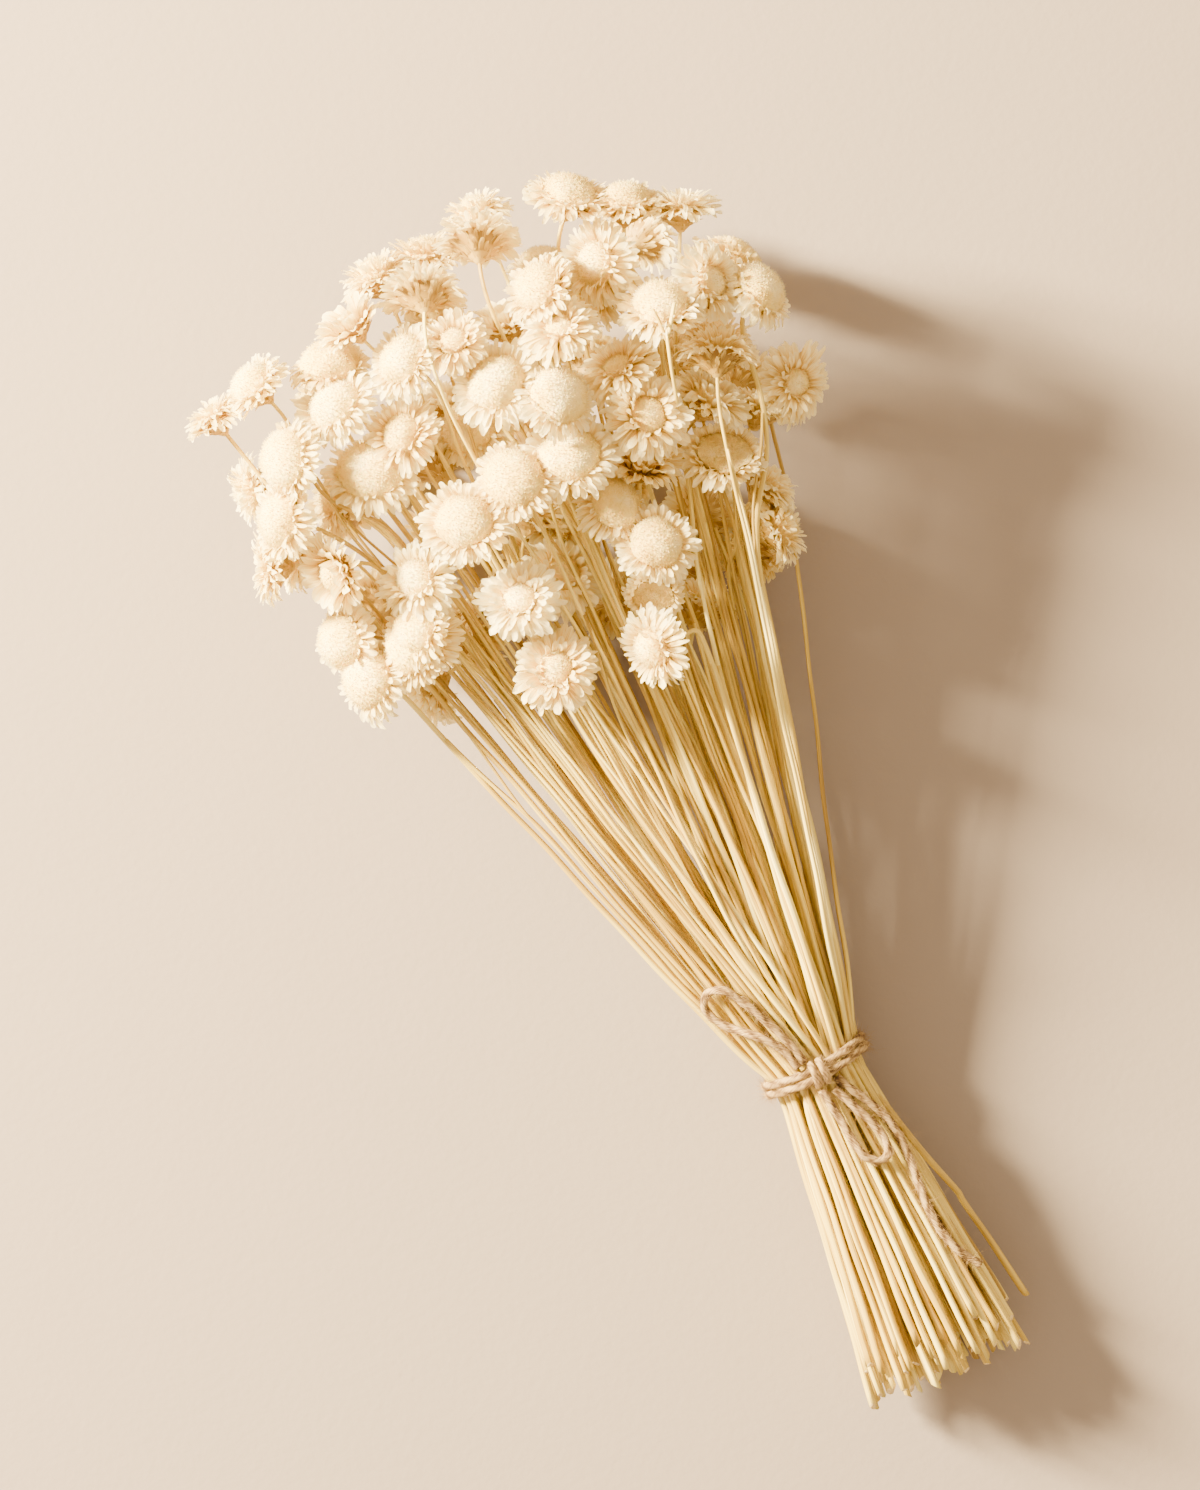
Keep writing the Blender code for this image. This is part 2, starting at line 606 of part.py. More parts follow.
def head_mesh(name, heads, number, collection, finish):
    """One head: calyx, fringe of petals and dome, lofted from rings round its axis."""
    rng = np.random.default_rng(SEED + 100 + number)
    cup = heads.cups[number]
    tip, foot, shoulder, top = (
        (CUP_TIP, CUP_FOOT, CUP_SHOULDER, CUP_TOP) if cup else (PETAL_TIP, DOME_FOOT, DOME_SHOULDER, DOME_TOP)
    )
    notch = (PETAL_NOTCH[0] * tip[0] / PETAL_TIP[0], PETAL_NOTCH[1] + 0.6 * (tip[1] - PETAL_TIP[1]))
    bm = bmesh.new()
    spin = rng.uniform(0.0, 2.0 * math.pi)

    def ring(count, radii, heights):
        turns = spin + 2.0 * math.pi * np.arange(count) / count
        return [bm.verts.new((r * math.cos(t), r * math.sin(t), h)) for t, r, h in zip(turns, radii, heights)]

    rim = 2 * PETALS
    is_tip = np.arange(rim) % 2 == 0
    radii = np.where(is_tip, tip[0] - rng.uniform(0.0, 0.9, rim), notch[0])
    heights = np.where(is_tip, tip[1] + rng.uniform(-0.35, 0.35, rim), notch[1])
    calyx = ring(5, [CALYX[0]] * 5, [CALYX[1]] * 5)
    petals = ring(rim, radii, heights)
    low = ring(PETALS, [foot[0]] * PETALS, [foot[1]] * PETALS)
    high = ring(5, [shoulder[0]] * 5, [shoulder[1]] * 5)
    apex = bm.verts.new((0.0, 0.0, top[1]))
    bm.faces.new(calyx[::-1])
    bridge(bm, petals, calyx)
    bridge(bm, low, petals)
    bridge(bm, high, low)
    for a, b in zip(high, high[1:] + high[:1]):
        bm.faces.new((a, b, apex))
    bmesh.ops.recalc_face_normals(bm, faces=bm.faces)
    turn = Matrix(bases(heads.axes[number:number + 1])[0].T.tolist()).to_4x4()
    place = Matrix.Translation(Vector(heads.centres[number] + ORIGIN_SHIFT) * MM)
    bm.transform(place @ turn @ Matrix.Scale(heads.sizes[number] * MM, 4))
    return add_mesh(name, bm, collection, finish)


def tube(name, points, radii, collection, finish, sides=0, closed=False):
    """A tube along the points, made from a curve with a round bevel and welded caps."""
    curve = bpy.data.curves.new(name, "CURVE")
    curve.dimensions = "3D"
    curve.bevel_depth = 1.0
    curve.bevel_resolution = sides
    curve.use_fill_caps = not closed
    spline = curve.splines.new("POLY")
    spline.points.add(len(points) - 1)
    spline.use_cyclic_u = closed
    for point, place, radius in zip(spline.points, points, radii):
        point.co = (*(Vector(np.array(place) + ORIGIN_SHIFT) * MM), 1.0)
        point.radius = radius * MM
    holder = bpy.data.objects.new(name + "_line", curve)
    collection.objects.link(holder)
    bpy.context.view_layer.update()
    graph = bpy.context.evaluated_depsgraph_get()
    mesh = bpy.data.meshes.new_from_object(holder.evaluated_get(graph))
    bpy.data.objects.remove(holder)
    bpy.data.curves.remove(curve)
    bm = bmesh.new()
    bm.from_mesh(mesh)
    bpy.data.meshes.remove(mesh)
    bmesh.ops.remove_doubles(bm, verts=bm.verts, dist=1e-6)
    bmesh.ops.recalc_face_normals(bm, faces=bm.faces)
    return add_mesh(name, bm, collection, finish)


def apply_boolean(obj, operation, other, solver="MANIFOLD"):
    """Joins or cuts with an object or a collection, and keeps the result as the mesh."""
    step = obj.modifiers.new(operation.lower(), "BOOLEAN")
    step.operation = operation
    step.solver = solver
    if isinstance(other, bpy.types.Collection):
        step.operand_type = "COLLECTION"
        step.collection = other
    else:
        step.object = other
    bpy.context.view_layer.update()
    graph = bpy.context.evaluated_depsgraph_get()
    result = bpy.data.meshes.new_from_object(obj.evaluated_get(graph))
    obj.modifiers.clear()
    spare = obj.data
    obj.data = result
    bpy.data.meshes.remove(spare)


def drop_scraps(obj):
    """Keeps the largest body of a mesh, without specks that the union left loose."""
    bm = bmesh.new()
    bm.from_mesh(obj.data)
    todo, bodies = set(bm.verts), []
    while todo:
        body, edge_of = set(), [todo.pop()]
        while edge_of:
            vertex = edge_of.pop()
            body.add(vertex)
            for edge in vertex.link_edges:
                other = edge.other_vert(vertex)
                if other in todo:
                    todo.remove(other)
                    edge_of.append(other)
        bodies.append(body)
    largest = max(bodies, key=len)
    loose = [vertex for body in bodies if body is not largest and len(body) < 12 for vertex in body]
    bmesh.ops.delete(bm, geom=loose, context="VERTS")
    bm.to_mesh(obj.data)
    bm.free()


def join_into(obj, others, scratch):
    """One union of an object with a collection of others, which are then removed."""
    for other in others:
        scratch.objects.link(other)
    apply_boolean(obj, "UNION", scratch)
    for other in others:
        bpy.data.objects.remove(other)
    drop_scraps(obj)


def trim_flat(obj, floor):
    """What reaches under the surface is cut to a flat spot that the bunch rests on."""
    if min(vertex.co.z for vertex in obj.data.vertices) < -1e-5:
        apply_boolean(obj, "DIFFERENCE", floor)
        drop_scraps(obj)


def make_floor_cutter(cutters):
    bpy.ops.mesh.primitive_cube_add(size=1.0)
    floor = bpy.context.active_object
    floor.name = "floor_cutter"
    floor.data.transform(Matrix.Translation((0.0, 0.0, -0.025)) @ Matrix.Diagonal((0.6, 0.6, 0.05, 1.0)))
    for owner in list(floor.users_collection):
        owner.objects.unlink(floor)
    cutters.objects.link(floor)
    floor.hide_render = True
    floor.display_type = "WIRE"
    return floor


def make_core(collection, finish):
    """The packed middle of the tie, out of sight under the twine, that holds the stems together."""
    bm = bmesh.new()
    bmesh.ops.create_cone(
        bm, cap_ends=True, segments=20, radius1=1.0, radius2=1.0, depth=CORE_LENGTH * MM,
        matrix=Matrix.Rotation(math.pi / 2.0, 4, "X"),
    )
    wide = (TIE_HALF_WIDTH + 0.9) * MM
    high = (TIE_HALF_HEIGHT + 0.9) * MM
    bm.transform(Matrix.Diagonal((wide, 1.0, high, 1.0)))
    bm.transform(Matrix.Translation(Vector((0.0, 0.0, TIE_HEIGHT)) * MM + Vector(ORIGIN_SHIFT) * MM))
    return add_mesh("stems", bm, collection, finish)


def make_stems(heads, stems, collection, scratch, finish, floor):
    core = make_core(collection, finish)
    tubes = []
    for number in range(len(heads.centres)):
        line = stem_line(heads, stems, number)
        radii = np.interp([point[1] for point in line], RADIUS_AT, RADII)
        tubes.append(tube(f"stem_{number}", line, radii, scratch, finish))
    for made in tubes:
        scratch.objects.unlink(made)
    join_into(core, tubes, scratch)
    trim_flat(core, floor)
    return core


def make_flowers(heads, group, collection, scratch, finish, floor):
    """Each head is a node of its own, or shares one with those that it presses into."""
    for node, first in enumerate(sorted(set(group)), 1):
        members = np.flatnonzero(group == first)
        name = f"flower_{node:02d}" if len(members) == 1 else f"flowers_{node:02d}"
        flower = head_mesh(name, heads, members[0], collection, finish)
        others = [head_mesh("neighbour", heads, number, scratch, finish) for number in members[1:]]
        for other in others:
            scratch.objects.unlink(other)
        if others:
            join_into(flower, others, scratch)
        trim_flat(flower, floor)


def surface_height(heads, stems, x, y, reach):
    """Height at which a round cord of this reach rests on the stems at a place near the tie."""
    best = 0.0
    for number, place in enumerate(stems.places):
        if y >= 0.0:
            line = np.concatenate([[stems.tie[number]], stems.lines[number, :6]])
            at = np.concatenate([[0.0], stems.along[:6]])
            sx, sz = np.interp(y, at, line[:, 0]), np.interp(y, at, line[:, 1])
        else:
            end = cut_end(place, number)
            part = min(1.0, y / end[1])
            sx = stems.tie[number, 0] + (end[0] - stems.tie[number, 0]) * part
            sz = stems.tie[number, 1] + (end[2] - stems.tie[number, 1]) * part
        off = abs(x - sx)
        if off < reach:
            best = max(best, sz + math.sqrt(reach**2 - off**2))
    return best


def twine_route(heads, stems, route):
    """A route seen from above, laid on the stems."""
    reach = STEM_RADIUS_CUT + TWINE_RADIUS + 0.45
    flat = smooth_curve([(*seen(*spot), 0.0) for spot in route], 3.6)
    heights = [surface_height(heads, stems, x, y, reach) for x, y, _ in flat]
    for _ in range(2):
        padded = [heights[0]] + heights + [heights[-1]]
        heights = [max(b, (a + b + c) / 3.0) for a, b, c in zip(padded, padded[1:], padded[2:])]
    flat[:, 2] = heights
    return flat


def make_twine(heads, stems, collection, scratch, finish):
    """A doubled turn with its knot, two bows and the tail."""
    wide = TIE_HALF_WIDTH + STEM_RADIUS_CUT + TWINE_GAP + TWINE_RADIUS + 0.1
    high = TIE_HALF_HEIGHT + STEM_RADIUS_CUT + TWINE_GAP + TWINE_RADIUS + 0.1
    rings = []
    for offset in STRANDS:
        turns = 2.0 * math.pi * np.arange(18) / 18
        spots = [
            (wide * math.cos(t), offset + 1.6 * (1.0 - max(0.0, math.sin(t)) ** 2) + 0.9 * math.cos(t),
             TIE_HEIGHT + high * math.sin(t))
            for t in turns
        ]
        rings.append(tube(f"ring_{offset}", spots, [TWINE_RADIUS] * len(spots), scratch, finish, 1, True))
    for offset in KNOT_TURNS:
        turns = 2.0 * math.pi * np.arange(8) / 8
        spots = [
            (offset + 0.4 * math.sin(t), KNOT_RADIUS * 1.15 * math.cos(t),
             TIE_HEIGHT + high + 0.5 + 0.72 * KNOT_RADIUS * math.sin(t))
            for t in turns
        ]
        rings.append(tube(f"wrap_{offset}", spots, [TWINE_RADIUS] * len(spots), scratch, finish, 1, True))
    for made in rings:
        scratch.objects.unlink(made)
    tie = rings[0]
    tie.name = "twine_tie"
    collection.objects.link(tie)
    join_into(tie, rings[1:], scratch)
    for name, route in (("twine_bow_left", BOW_LEFT), ("twine_bow_right", BOW_RIGHT), ("twine_tail", TAIL)):
        line = twine_route(heads, stems, route)
        tube(name, line, [TWINE_RADIUS] * len(line), collection, finish, 2)


def main():
    for obj in list(bpy.data.objects):
        bpy.data.objects.remove(obj)
    scene = bpy.context.scene.collection
    bunch = bpy.data.collections.new("dried_daisy_bundle")
    cutters = bpy.data.collections.new("cutters")
    scratch = bpy.data.collections.new("scratch")
    for collection in (bunch, cutters, scratch):
        scene.children.link(collection)
    straw = material("dried straw stem", (0.72, 0.52, 0.22), 0.55)
    cream = material("dried daisy head", (0.86, 0.77, 0.62), 0.85)
    jute = material("jute twine", (0.36, 0.24, 0.15), 0.9)
    floor = make_floor_cutter(cutters)
    heads, stems, group = make_layout()
    make_stems(heads, stems, bunch, scratch, straw, floor)
    make_flowers(heads, group, bunch, scratch, cream, floor)
    make_twine(heads, stems, bunch, scratch, jute)
    bpy.data.collections.remove(scratch)


main()
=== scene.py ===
import math

import bpy
import numpy as np
from mathutils import Matrix, Vector


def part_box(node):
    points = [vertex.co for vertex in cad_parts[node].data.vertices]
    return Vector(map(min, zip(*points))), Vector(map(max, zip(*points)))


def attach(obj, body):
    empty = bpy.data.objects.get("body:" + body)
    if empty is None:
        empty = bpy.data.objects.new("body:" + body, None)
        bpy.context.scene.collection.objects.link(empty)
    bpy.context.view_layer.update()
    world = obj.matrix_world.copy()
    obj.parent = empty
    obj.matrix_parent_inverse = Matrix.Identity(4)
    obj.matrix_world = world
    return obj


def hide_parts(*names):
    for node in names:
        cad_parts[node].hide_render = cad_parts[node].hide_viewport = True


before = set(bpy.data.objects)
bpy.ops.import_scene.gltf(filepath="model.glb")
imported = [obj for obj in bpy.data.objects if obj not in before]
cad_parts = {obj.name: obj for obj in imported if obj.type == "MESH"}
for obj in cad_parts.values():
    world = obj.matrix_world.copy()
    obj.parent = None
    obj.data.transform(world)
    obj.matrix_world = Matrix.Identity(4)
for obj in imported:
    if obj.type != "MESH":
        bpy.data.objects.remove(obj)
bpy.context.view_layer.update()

mm = 0.001  # lengths below are in millimetres unless a name says otherwise


# The picture: seen from straight above, the bunch leaning to the left
view = {
    "centre": (-13.4, 22.1),
    "up": (0.4067, 0.9135),
    "frameHeight": 372.5,
    "planeHeight": 45.0,
    "distance": 2600.0,
}


def makeCamera():
    up = Vector((*view["up"], 0.0)).normalized()
    right = Vector((up.y, -up.x, 0.0))
    data = bpy.data.cameras.new("camera")
    data.sensor_fit = "VERTICAL"
    data.sensor_height = 24.0
    data.lens = 24.0 * view["distance"] / view["frameHeight"]
    data.clip_end = 20.0
    camera = bpy.data.objects.new("camera", data)
    bpy.context.scene.collection.objects.link(camera)
    camera.matrix_world = Matrix((
        (right.x, up.x, 0.0, view["centre"][0] * mm),
        (right.y, up.y, 0.0, view["centre"][1] * mm),
        (0.0, 0.0, 1.0, (view["planeHeight"] + view["distance"]) * mm),
        (0.0, 0.0, 0.0, 1.0),
    ))
    bpy.context.scene.camera = camera
    return right, up


# Low warm light from a tall window on the upper left, and a dim room round it
studio = {
    "keyColour": "#FFE6B4",
    "keyPower": 330.0,
    "keyWide": 0.2,
    "keyTall": 0.52,
    "keyDistance": 1.4,
    "keyElevation": 27.0,
    "keyAcross": -0.9,
    "keyUp": 0.37,
    "roomColour": "#FFDDAE",
    "roomStrength": 1.5,
    "floorColour": "#978C87",
    "floorSize": 6.0,
}


def linear(code, alpha=1.0):  # sRGB hex to the linear colour that a shader takes
    parts = [int(code[i:i + 2], 16) / 255.0 for i in (1, 3, 5)]
    return (*[p / 12.92 if p <= 0.04045 else ((p + 0.055) / 1.055) ** 2.4 for p in parts], alpha)


def addNode(tree, kind, settings=None, links=None, **values):
    node = tree.nodes.new(kind)
    for name, value in (settings or {}).items():
        setattr(node, name, value)
    for name, value in values.items():
        node.inputs[name.replace("_", " ")].default_value = value
    for name, source in (links or {}).items():
        tree.links.new(source, node.inputs[name])
    return node


def rampNode(tree, factor, stops):
    ramp = addNode(tree, "ShaderNodeValToRGB", links={"Fac": factor})
    marks = ramp.color_ramp.elements
    marks.remove(marks[1])
    marks[0].position, marks[0].color = stops[0][0], linear(stops[0][1])
    for place, code in stops[1:]:
        marks.new(place).color = linear(code)
    return ramp


def startMaterial(name):
    material = bpy.data.materials.new(name)
    material.use_nodes = True
    tree = material.node_tree
    tree.nodes.clear()
    out = addNode(tree, "ShaderNodeOutputMaterial")
    shader = addNode(tree, "ShaderNodeBsdfPrincipled")
    tree.links.new(shader.outputs["BSDF"], out.inputs["Surface"])
    return material, tree, shader, out


# Layout: the same rule and numbers as the solids, so each piece lands on its own
bunch = {
    "seed": 7,
    "originShift": np.array((3.3, -75.6, 0.0)),
    "viewLean": math.radians(24),
    "tieHeight": 15.0,
    "tieHalfWidth": 10.7,
    "tieHalfHeight": 10.0,
    "tieRings": (1, 6, 12, 18, 24, 30),
    "cutLength": 85.0,
    "cutShortest": 71.0,
    "cutSpread": 11.0,
    "cutRise": 3.6,
    "stemRadiusCut": 1.1,
    "stemRadiusHead": 0.8,
    "station": 8.0,
    "stations": 29,
    "lineSlack": 1.0,
    "coreLength": 5.0,
    "radiusAt": (-60.0, -20.0, 20.0, 60.0, 200.0),
    "radii": (1.1, 0.9, 0.9, 1.1, 0.8),
    "calyxGap": 0.35,
    "neck": 14.0,
    "neckBend": 4.0,
    "layerDrop": 13.0,
    "resting": ((-36.0, 184.0), (38.0, 180.0), (2.0, 130.0)),
    "restingSize": 1.05,
    "restingCut": 0.9,
    "hidden": 18,
    "hiddenFrom": 118.0,
    "hiddenLength": 95.0,
    "headNodes": 55,
    "coreScale": 0.8,
    "coreDepth": 0.8,
    # across and up from the knot as seen, turn, lift, layer, size
    "domesSeen": (
        (-154, 162, -35, 12, 0, 0.84), (-137, 173, -48, 22, 0, 0.92), (-123, 178, -5, 35, 0, 0.95),
        (-110, 195, -30, 12, 0, 0.95), (-107, 177, -60, 50, 0, 0.95), (-99, 195, -10, -35, 0, 1.0),
        (-97, 204, -10, 10, 1, 0.95), (-86, 216, -25, 12, 0, 0.86), (-85, 206, -5, -30, 0, 1.08),
        (-62, 215, 10, 32, 0, 0.98), (-49, 217, 5, 20, 0, 0.92), (-34, 215, 0, 8, 0, 0.95),
        (-54, 204, -100, 50, 0, 1.08), (-52, 196, -130, 40, 1, 1.0), (-30, 197, 80, 45, 0, 1.0),
        (-16, 194, 45, 25, 0, 0.98), (-6, 173, 80, 55, 0, 1.05), (-42, 186, -10, 40, 0, 1.08),
        (-26, 186, 20, 20, 1, 1.0), (-25, 178, 0, -15, 0, 0.98), (-51, 176, -30, 45, 0, 1.0),
        (-44, 166, 60, 75, 0, 1.1), (-30, 169, 30, 20, 1, 1.0), (-17, 165, 10, 8, 1, 0.95),
        (-70, 195, -60, 40, 0, 1.0), (-75, 202, 0, 20, 1, 0.95), (-64, 184, -20, 50, 0, 1.0),
        (-95, 187, -20, 12, 0, 0.95), (-87, 181, -20, 60, 0, 0.85), (-80, 172, -30, 65, 0, 1.08),
        (-65, 171, 40, 45, 0, 1.02), (-119, 164, -45, 40, 0, 1.0), (-106, 160, -40, 65, 0, 1.0),
        (-112, 151, -20, 55, 0, 1.08), (-130, 154, -80, 35, 0, 1.0), (-132, 141, -90, 35, 0, 1.0),
        (-142, 146, -110, 5, 1, 0.95), (-116, 137, -60, 20, 1, 1.0), (-138, 124, -92, 5, 0, 0.95),
        (-120, 110, -100, 35, 0, 1.0), (-112, 97, -80, 45, 0, 1.05), (-102, 106, -60, 55, 0, 1.05),
        (-96, 112, -70, 50, 0, 0.95), (-101, 124, -50, 55, 0, 1.05), (-89, 136, -50, 70, 0, 1.08),
        (-77, 148, -30, 60, 0, 1.02), (-60, 156, -20, 65, 0, 1.15), (-81, 156, -30, 50, 1, 1.0),
        (-51, 145, 40, 40, 1, 0.95), (-41, 132, 20, 75, 0, 1.0), (-41, 107, -110, 35, 0, 1.0),
        (-74, 119, -60, 70, 0, 1.0), (-64, 122, 30, 50, 1, 1.1), (-26, 114, 20, -20, 2, 1.0),
        (-17, 146, 40, 8, 1, 0.95), (-17, 137, 70, 10, 1, 1.0), (-72, 140, 20, 12, 1, 0.95),
        (-65, 135, 0, 50, 2, 1.0), (-96, 169, -20, -10, 1, 1.0), (-99, 152, -30, -20, 2, 1.0),
        (-82, 119, -50, 5, 2, 1.0), (-97, 96, -120, -10, 1, 1.0),
    ),
    "cupsSeen": (
        (-117, 188, -40, 18, 0, 0.95), (-80, 189, -20, 12, 0, 1.0), (-25, 156, 10, 50, 1, 1.0),
        (-121, 124, -120, 35, 0, 1.0), (-43, 121, 180, 45, 1, 0.8), (-66, 101, 0, 72, 0, 1.05),
        (-41, 154, 10, 35, 1, 1.02), (-130, 131, -100, 25, 1, 0.95),
    ),
}

headShape = {
    "calyx": (1.7, -5.2),
    "domeTop": (0.0, 6.3),
    "outline": ((0, 6.6), (4.4, 6.0), (7.8, 3.4), (10.0, 0.6), (10.0, -0.4), (6.0, -3.4), (2.0, -5.4), (0, -5.6)),
    "rimSamples": ((4.4, 6.0, 5), (7.8, 3.4, 8), (10.0, 0.1, 14), (6.0, -3.4, 7), (2.0, -5.4, 3)),
}


def seen(across, up):
    c, s = math.cos(bunch["viewLean"]), math.sin(bunch["viewLean"])
    return c * across + s * up, c * up - s * across


def axisHeight(y):
    return np.interp(y, (-90.0, 0.0, 60.0, 170.0, 240.0), (14.0, bunch["tieHeight"], 24.0, 39.0, 41.0))


def halfWidth(y):
    return 22.0 + 0.36 * y


def halfHeight(y):
    past = np.maximum(y - 150.0, 0.0) / 92.0
    return (12.0 + 0.10 * y) * np.sqrt(np.clip(1.0 - past**2, 0.08, 1.0))


def outlinePlanes():
    points = np.array(headShape["outline"], float)
    run = points[1:] - points[:-1]
    normal = np.stack([-run[:, 1], run[:, 0]], 1)
    normal /= np.linalg.norm(normal, axis=1, keepdims=True)
    far = (normal * points[:-1]).sum(1)
    normal[normal[:, 0] > far] *= -1.0
    return normal, (normal * points[:-1]).sum(1)


def outlineSamples():
    points = [(0.0, 0.0, headShape["outline"][0][1])]
    for radius, height, count in headShape["rimSamples"]:
        turns = 2.0 * math.pi * np.arange(count) / count
        points += [(radius * math.cos(t), radius * math.sin(t), height) for t in turns]
    return np.array(points)


headShape["normals"], headShape["fars"] = outlinePlanes()
headShape["samples"] = outlineSamples()


def bases(axes):
    up = np.where(np.abs(axes[:, 2:3]) < 0.9, [[0.0, 0.0, 1.0]], [[0.0, 1.0, 0.0]])
    side = np.cross(up, axes)
    side /= np.linalg.norm(side, axis=1, keepdims=True)
    return np.stack([side, np.cross(axes, side), axes], 1)


def outside(points, centres, axes, sizes):
    arm = points - centres
    height = (arm * axes).sum(-1)
    side = arm - height[..., None] * axes
    radius = np.linalg.norm(side, axis=-1) + 1e-6
    flat = radius[..., None] * headShape["normals"][:, 0] + height[..., None] * headShape["normals"][:, 1]
    reach = flat - headShape["fars"] * sizes[..., None]
    nearest = reach.argmax(-1)
    normal = headShape["normals"][nearest]
    way = normal[..., :1] * side / radius[..., None] + normal[..., 1:] * axes
    return np.take_along_axis(reach, nearest[..., None], -1)[..., 0], way


class Heads:
    def __init__(self):
        self.centres, self.axes, self.sizes, self.cups, self.layers = [], [], [], [], []
        for rows, isCup in ((bunch["domesSeen"], False), (bunch["cupsSeen"], True)):
            for row in rows:
                self.addSeen(row, isCup)
        self.addHidden()
        self.addResting()
        self.centres = np.array(self.centres, float)
        self.axes = np.array(self.axes, float)
        self.sizes = np.array(self.sizes, float)
        self.layers = np.array(self.layers)
        self.resting = self.layers == 4
        self.homes = self.centres.copy()
        self.local = np.einsum("sk,nkj->nsj", headShape["samples"], bases(self.axes)) * self.sizes[:, None, None]

    def add(self, centre, axis, size, isCup, layer):
        self.centres.append(centre)
        self.axes.append(axis)
        self.sizes.append(size)
        self.cups.append(isCup)
        self.layers.append(layer)

    def addSeen(self, row, isCup):
        across, up, turn, lift, layer, size = row
        x, y = seen(across, up)
        bulge = math.sqrt(max(0.06, 1.0 - (x / halfWidth(y)) ** 2))
        z = axisHeight(y) + halfHeight(y) * bulge - bunch["layerDrop"] * layer
        turn, lift = math.radians(turn), math.radians(lift)
        face = seen(math.sin(turn), math.cos(turn))
        axis = (face[0] * math.cos(lift), face[1] * math.cos(lift), math.sin(lift))
        self.add((x, y, z), axis, size, isCup, layer)

    def addHidden(self):
        rng = np.random.default_rng(bunch["seed"])
        for n in range(bunch["hidden"]):
            y = bunch["hiddenFrom"] + bunch["hiddenLength"] * (n + 0.5) / bunch["hidden"]
            spread = (n * 0.618034 + 0.3) % 1.0 - 0.5
            x = spread * 1.64 * (halfWidth(y) - 8.0)
            for restX, restY in bunch["resting"]:
                if math.hypot(x - restX, y - restY) < 15.0:
                    x = restX + math.copysign(16.0, x - restX)
            bulge = math.sqrt(max(0.05, 1.0 - (x / halfWidth(y)) ** 2))
            z = max(axisHeight(y) - halfHeight(y) * bulge, 9.0)
            face = np.array((x / 60.0, (y - 120.0) / 120.0, -1.1 * bulge)) + rng.normal(0.0, 0.25, 3)
            self.add((x, y, z), face / np.linalg.norm(face), rng.uniform(0.92, 1.05), False, 3)

    def addResting(self):
        z = headShape["domeTop"][1] * bunch["restingSize"] - bunch["restingCut"]
        for x, y in bunch["resting"]:
            self.add((x, y, z), (0.0, 0.0, -1.0), bunch["restingSize"], False, 4)

    def stemEnds(self):
        return self.centres + self.axes * (headShape["calyx"][1] * self.sizes - bunch["calyxGap"])[:, None]

    def necks(self):
        return self.centres - self.axes * (bunch["neck"] * self.sizes)[:, None]


def tiePlaces(heads):
    centres = heads.centres
    lean = np.stack([centres[:, 0] / 0.40, (centres[:, 2] - axisHeight(centres[:, 1])) / 0.20], 1)
    lean /= centres[:, 1:2]
    order = np.argsort(np.hypot(*lean.T), kind="stable")
    places = np.zeros((len(centres), 2))
    first = 0
    for ring, count in enumerate(bunch["tieRings"]):
        members = order[first:first + count]
        first += count
        angles = np.arctan2(lean[members, 1], lean[members, 0])
        members = members[np.argsort(angles, kind="stable")]
        even = 2.0 * math.pi * np.arange(count) / count
        offset = np.angle(np.exp(1j * (np.sort(angles) - even)).mean())
        radius = ring / (len(bunch["tieRings"]) - 1)
        places[members] = radius * np.stack([np.cos(even + offset), np.sin(even + offset)], 1)
    return places


class Stems:
    def __init__(self, heads, places):
        self.places = places
        count = len(places)
        self.along = np.arange(1, bunch["stations"] + 1) * bunch["station"]
        self.tie = np.stack([places[:, 0] * bunch["tieHalfWidth"], places[:, 1] * bunch["tieHalfHeight"] + bunch["tieHeight"]], 1)
        necks = heads.necks()
        self.last = np.floor((necks[:, 1] - 4.0) / bunch["station"]).astype(int)
        self.used = np.arange(bunch["stations"])[None, :] < self.last[:, None]
        part = (self.along[None, :] / necks[:, 1:2])[..., None] ** 1.15
        self.lines = self.tie[:, None] + (necks[:, None, [0, 2]] - self.tie[:, None]) * part
        self.radii = np.interp(self.along, (0.0, 200.0), (bunch["stemRadiusCut"], bunch["stemRadiusHead"]))
        self.owners = np.arange(count)
        self.bends = np.zeros((count, 3))

    def necks(self, heads):
        return heads.necks() + self.bends

    def points(self):
        along = np.broadcast_to(self.along, self.lines.shape[:2])
        return np.stack([self.lines[..., 0], along, self.lines[..., 1]], -1)

    def smooth(self, heads, amount):
        ends = np.concatenate([self.tie[:, None], self.lines, self.lines[:, -1:]], 1)
        ends[self.owners, self.last + 1] = self.necks(heads)[:, [0, 2]]
        middle = (ends[:, :-2] + ends[:, 2:]) / 2.0
        self.lines += np.where(self.used[..., None], amount * (middle - self.lines), 0.0)
        self.lines[..., 1] = np.maximum(self.lines[..., 1], self.radii + 0.3)

    def partFromEachOther(self):
        away = self.lines[:, None] - self.lines[None]
        gap = np.sqrt((away**2).sum(-1)) + 1e-6
        both = self.used[:, None] & self.used[None]
        need = 2.0 * self.radii + 0.5
        amount = np.where(both & (gap < need), (need - gap) / gap * 0.35, 0.0)
        self.lines += (away * amount[..., None]).sum(1)


def deepestReach(heads, one, other, scale):
    points = heads.centres[one][:, None] + heads.local[one] * scale[:, None, None]
    centres, axes = heads.centres[other][:, None], heads.axes[other][:, None]
    reach, way = outside(points, centres, axes, (heads.sizes[other] * scale)[:, None])
    rows = np.arange(len(one))
    deepest = reach.argmin(1)
    return reach[rows, deepest], way[rows, deepest]


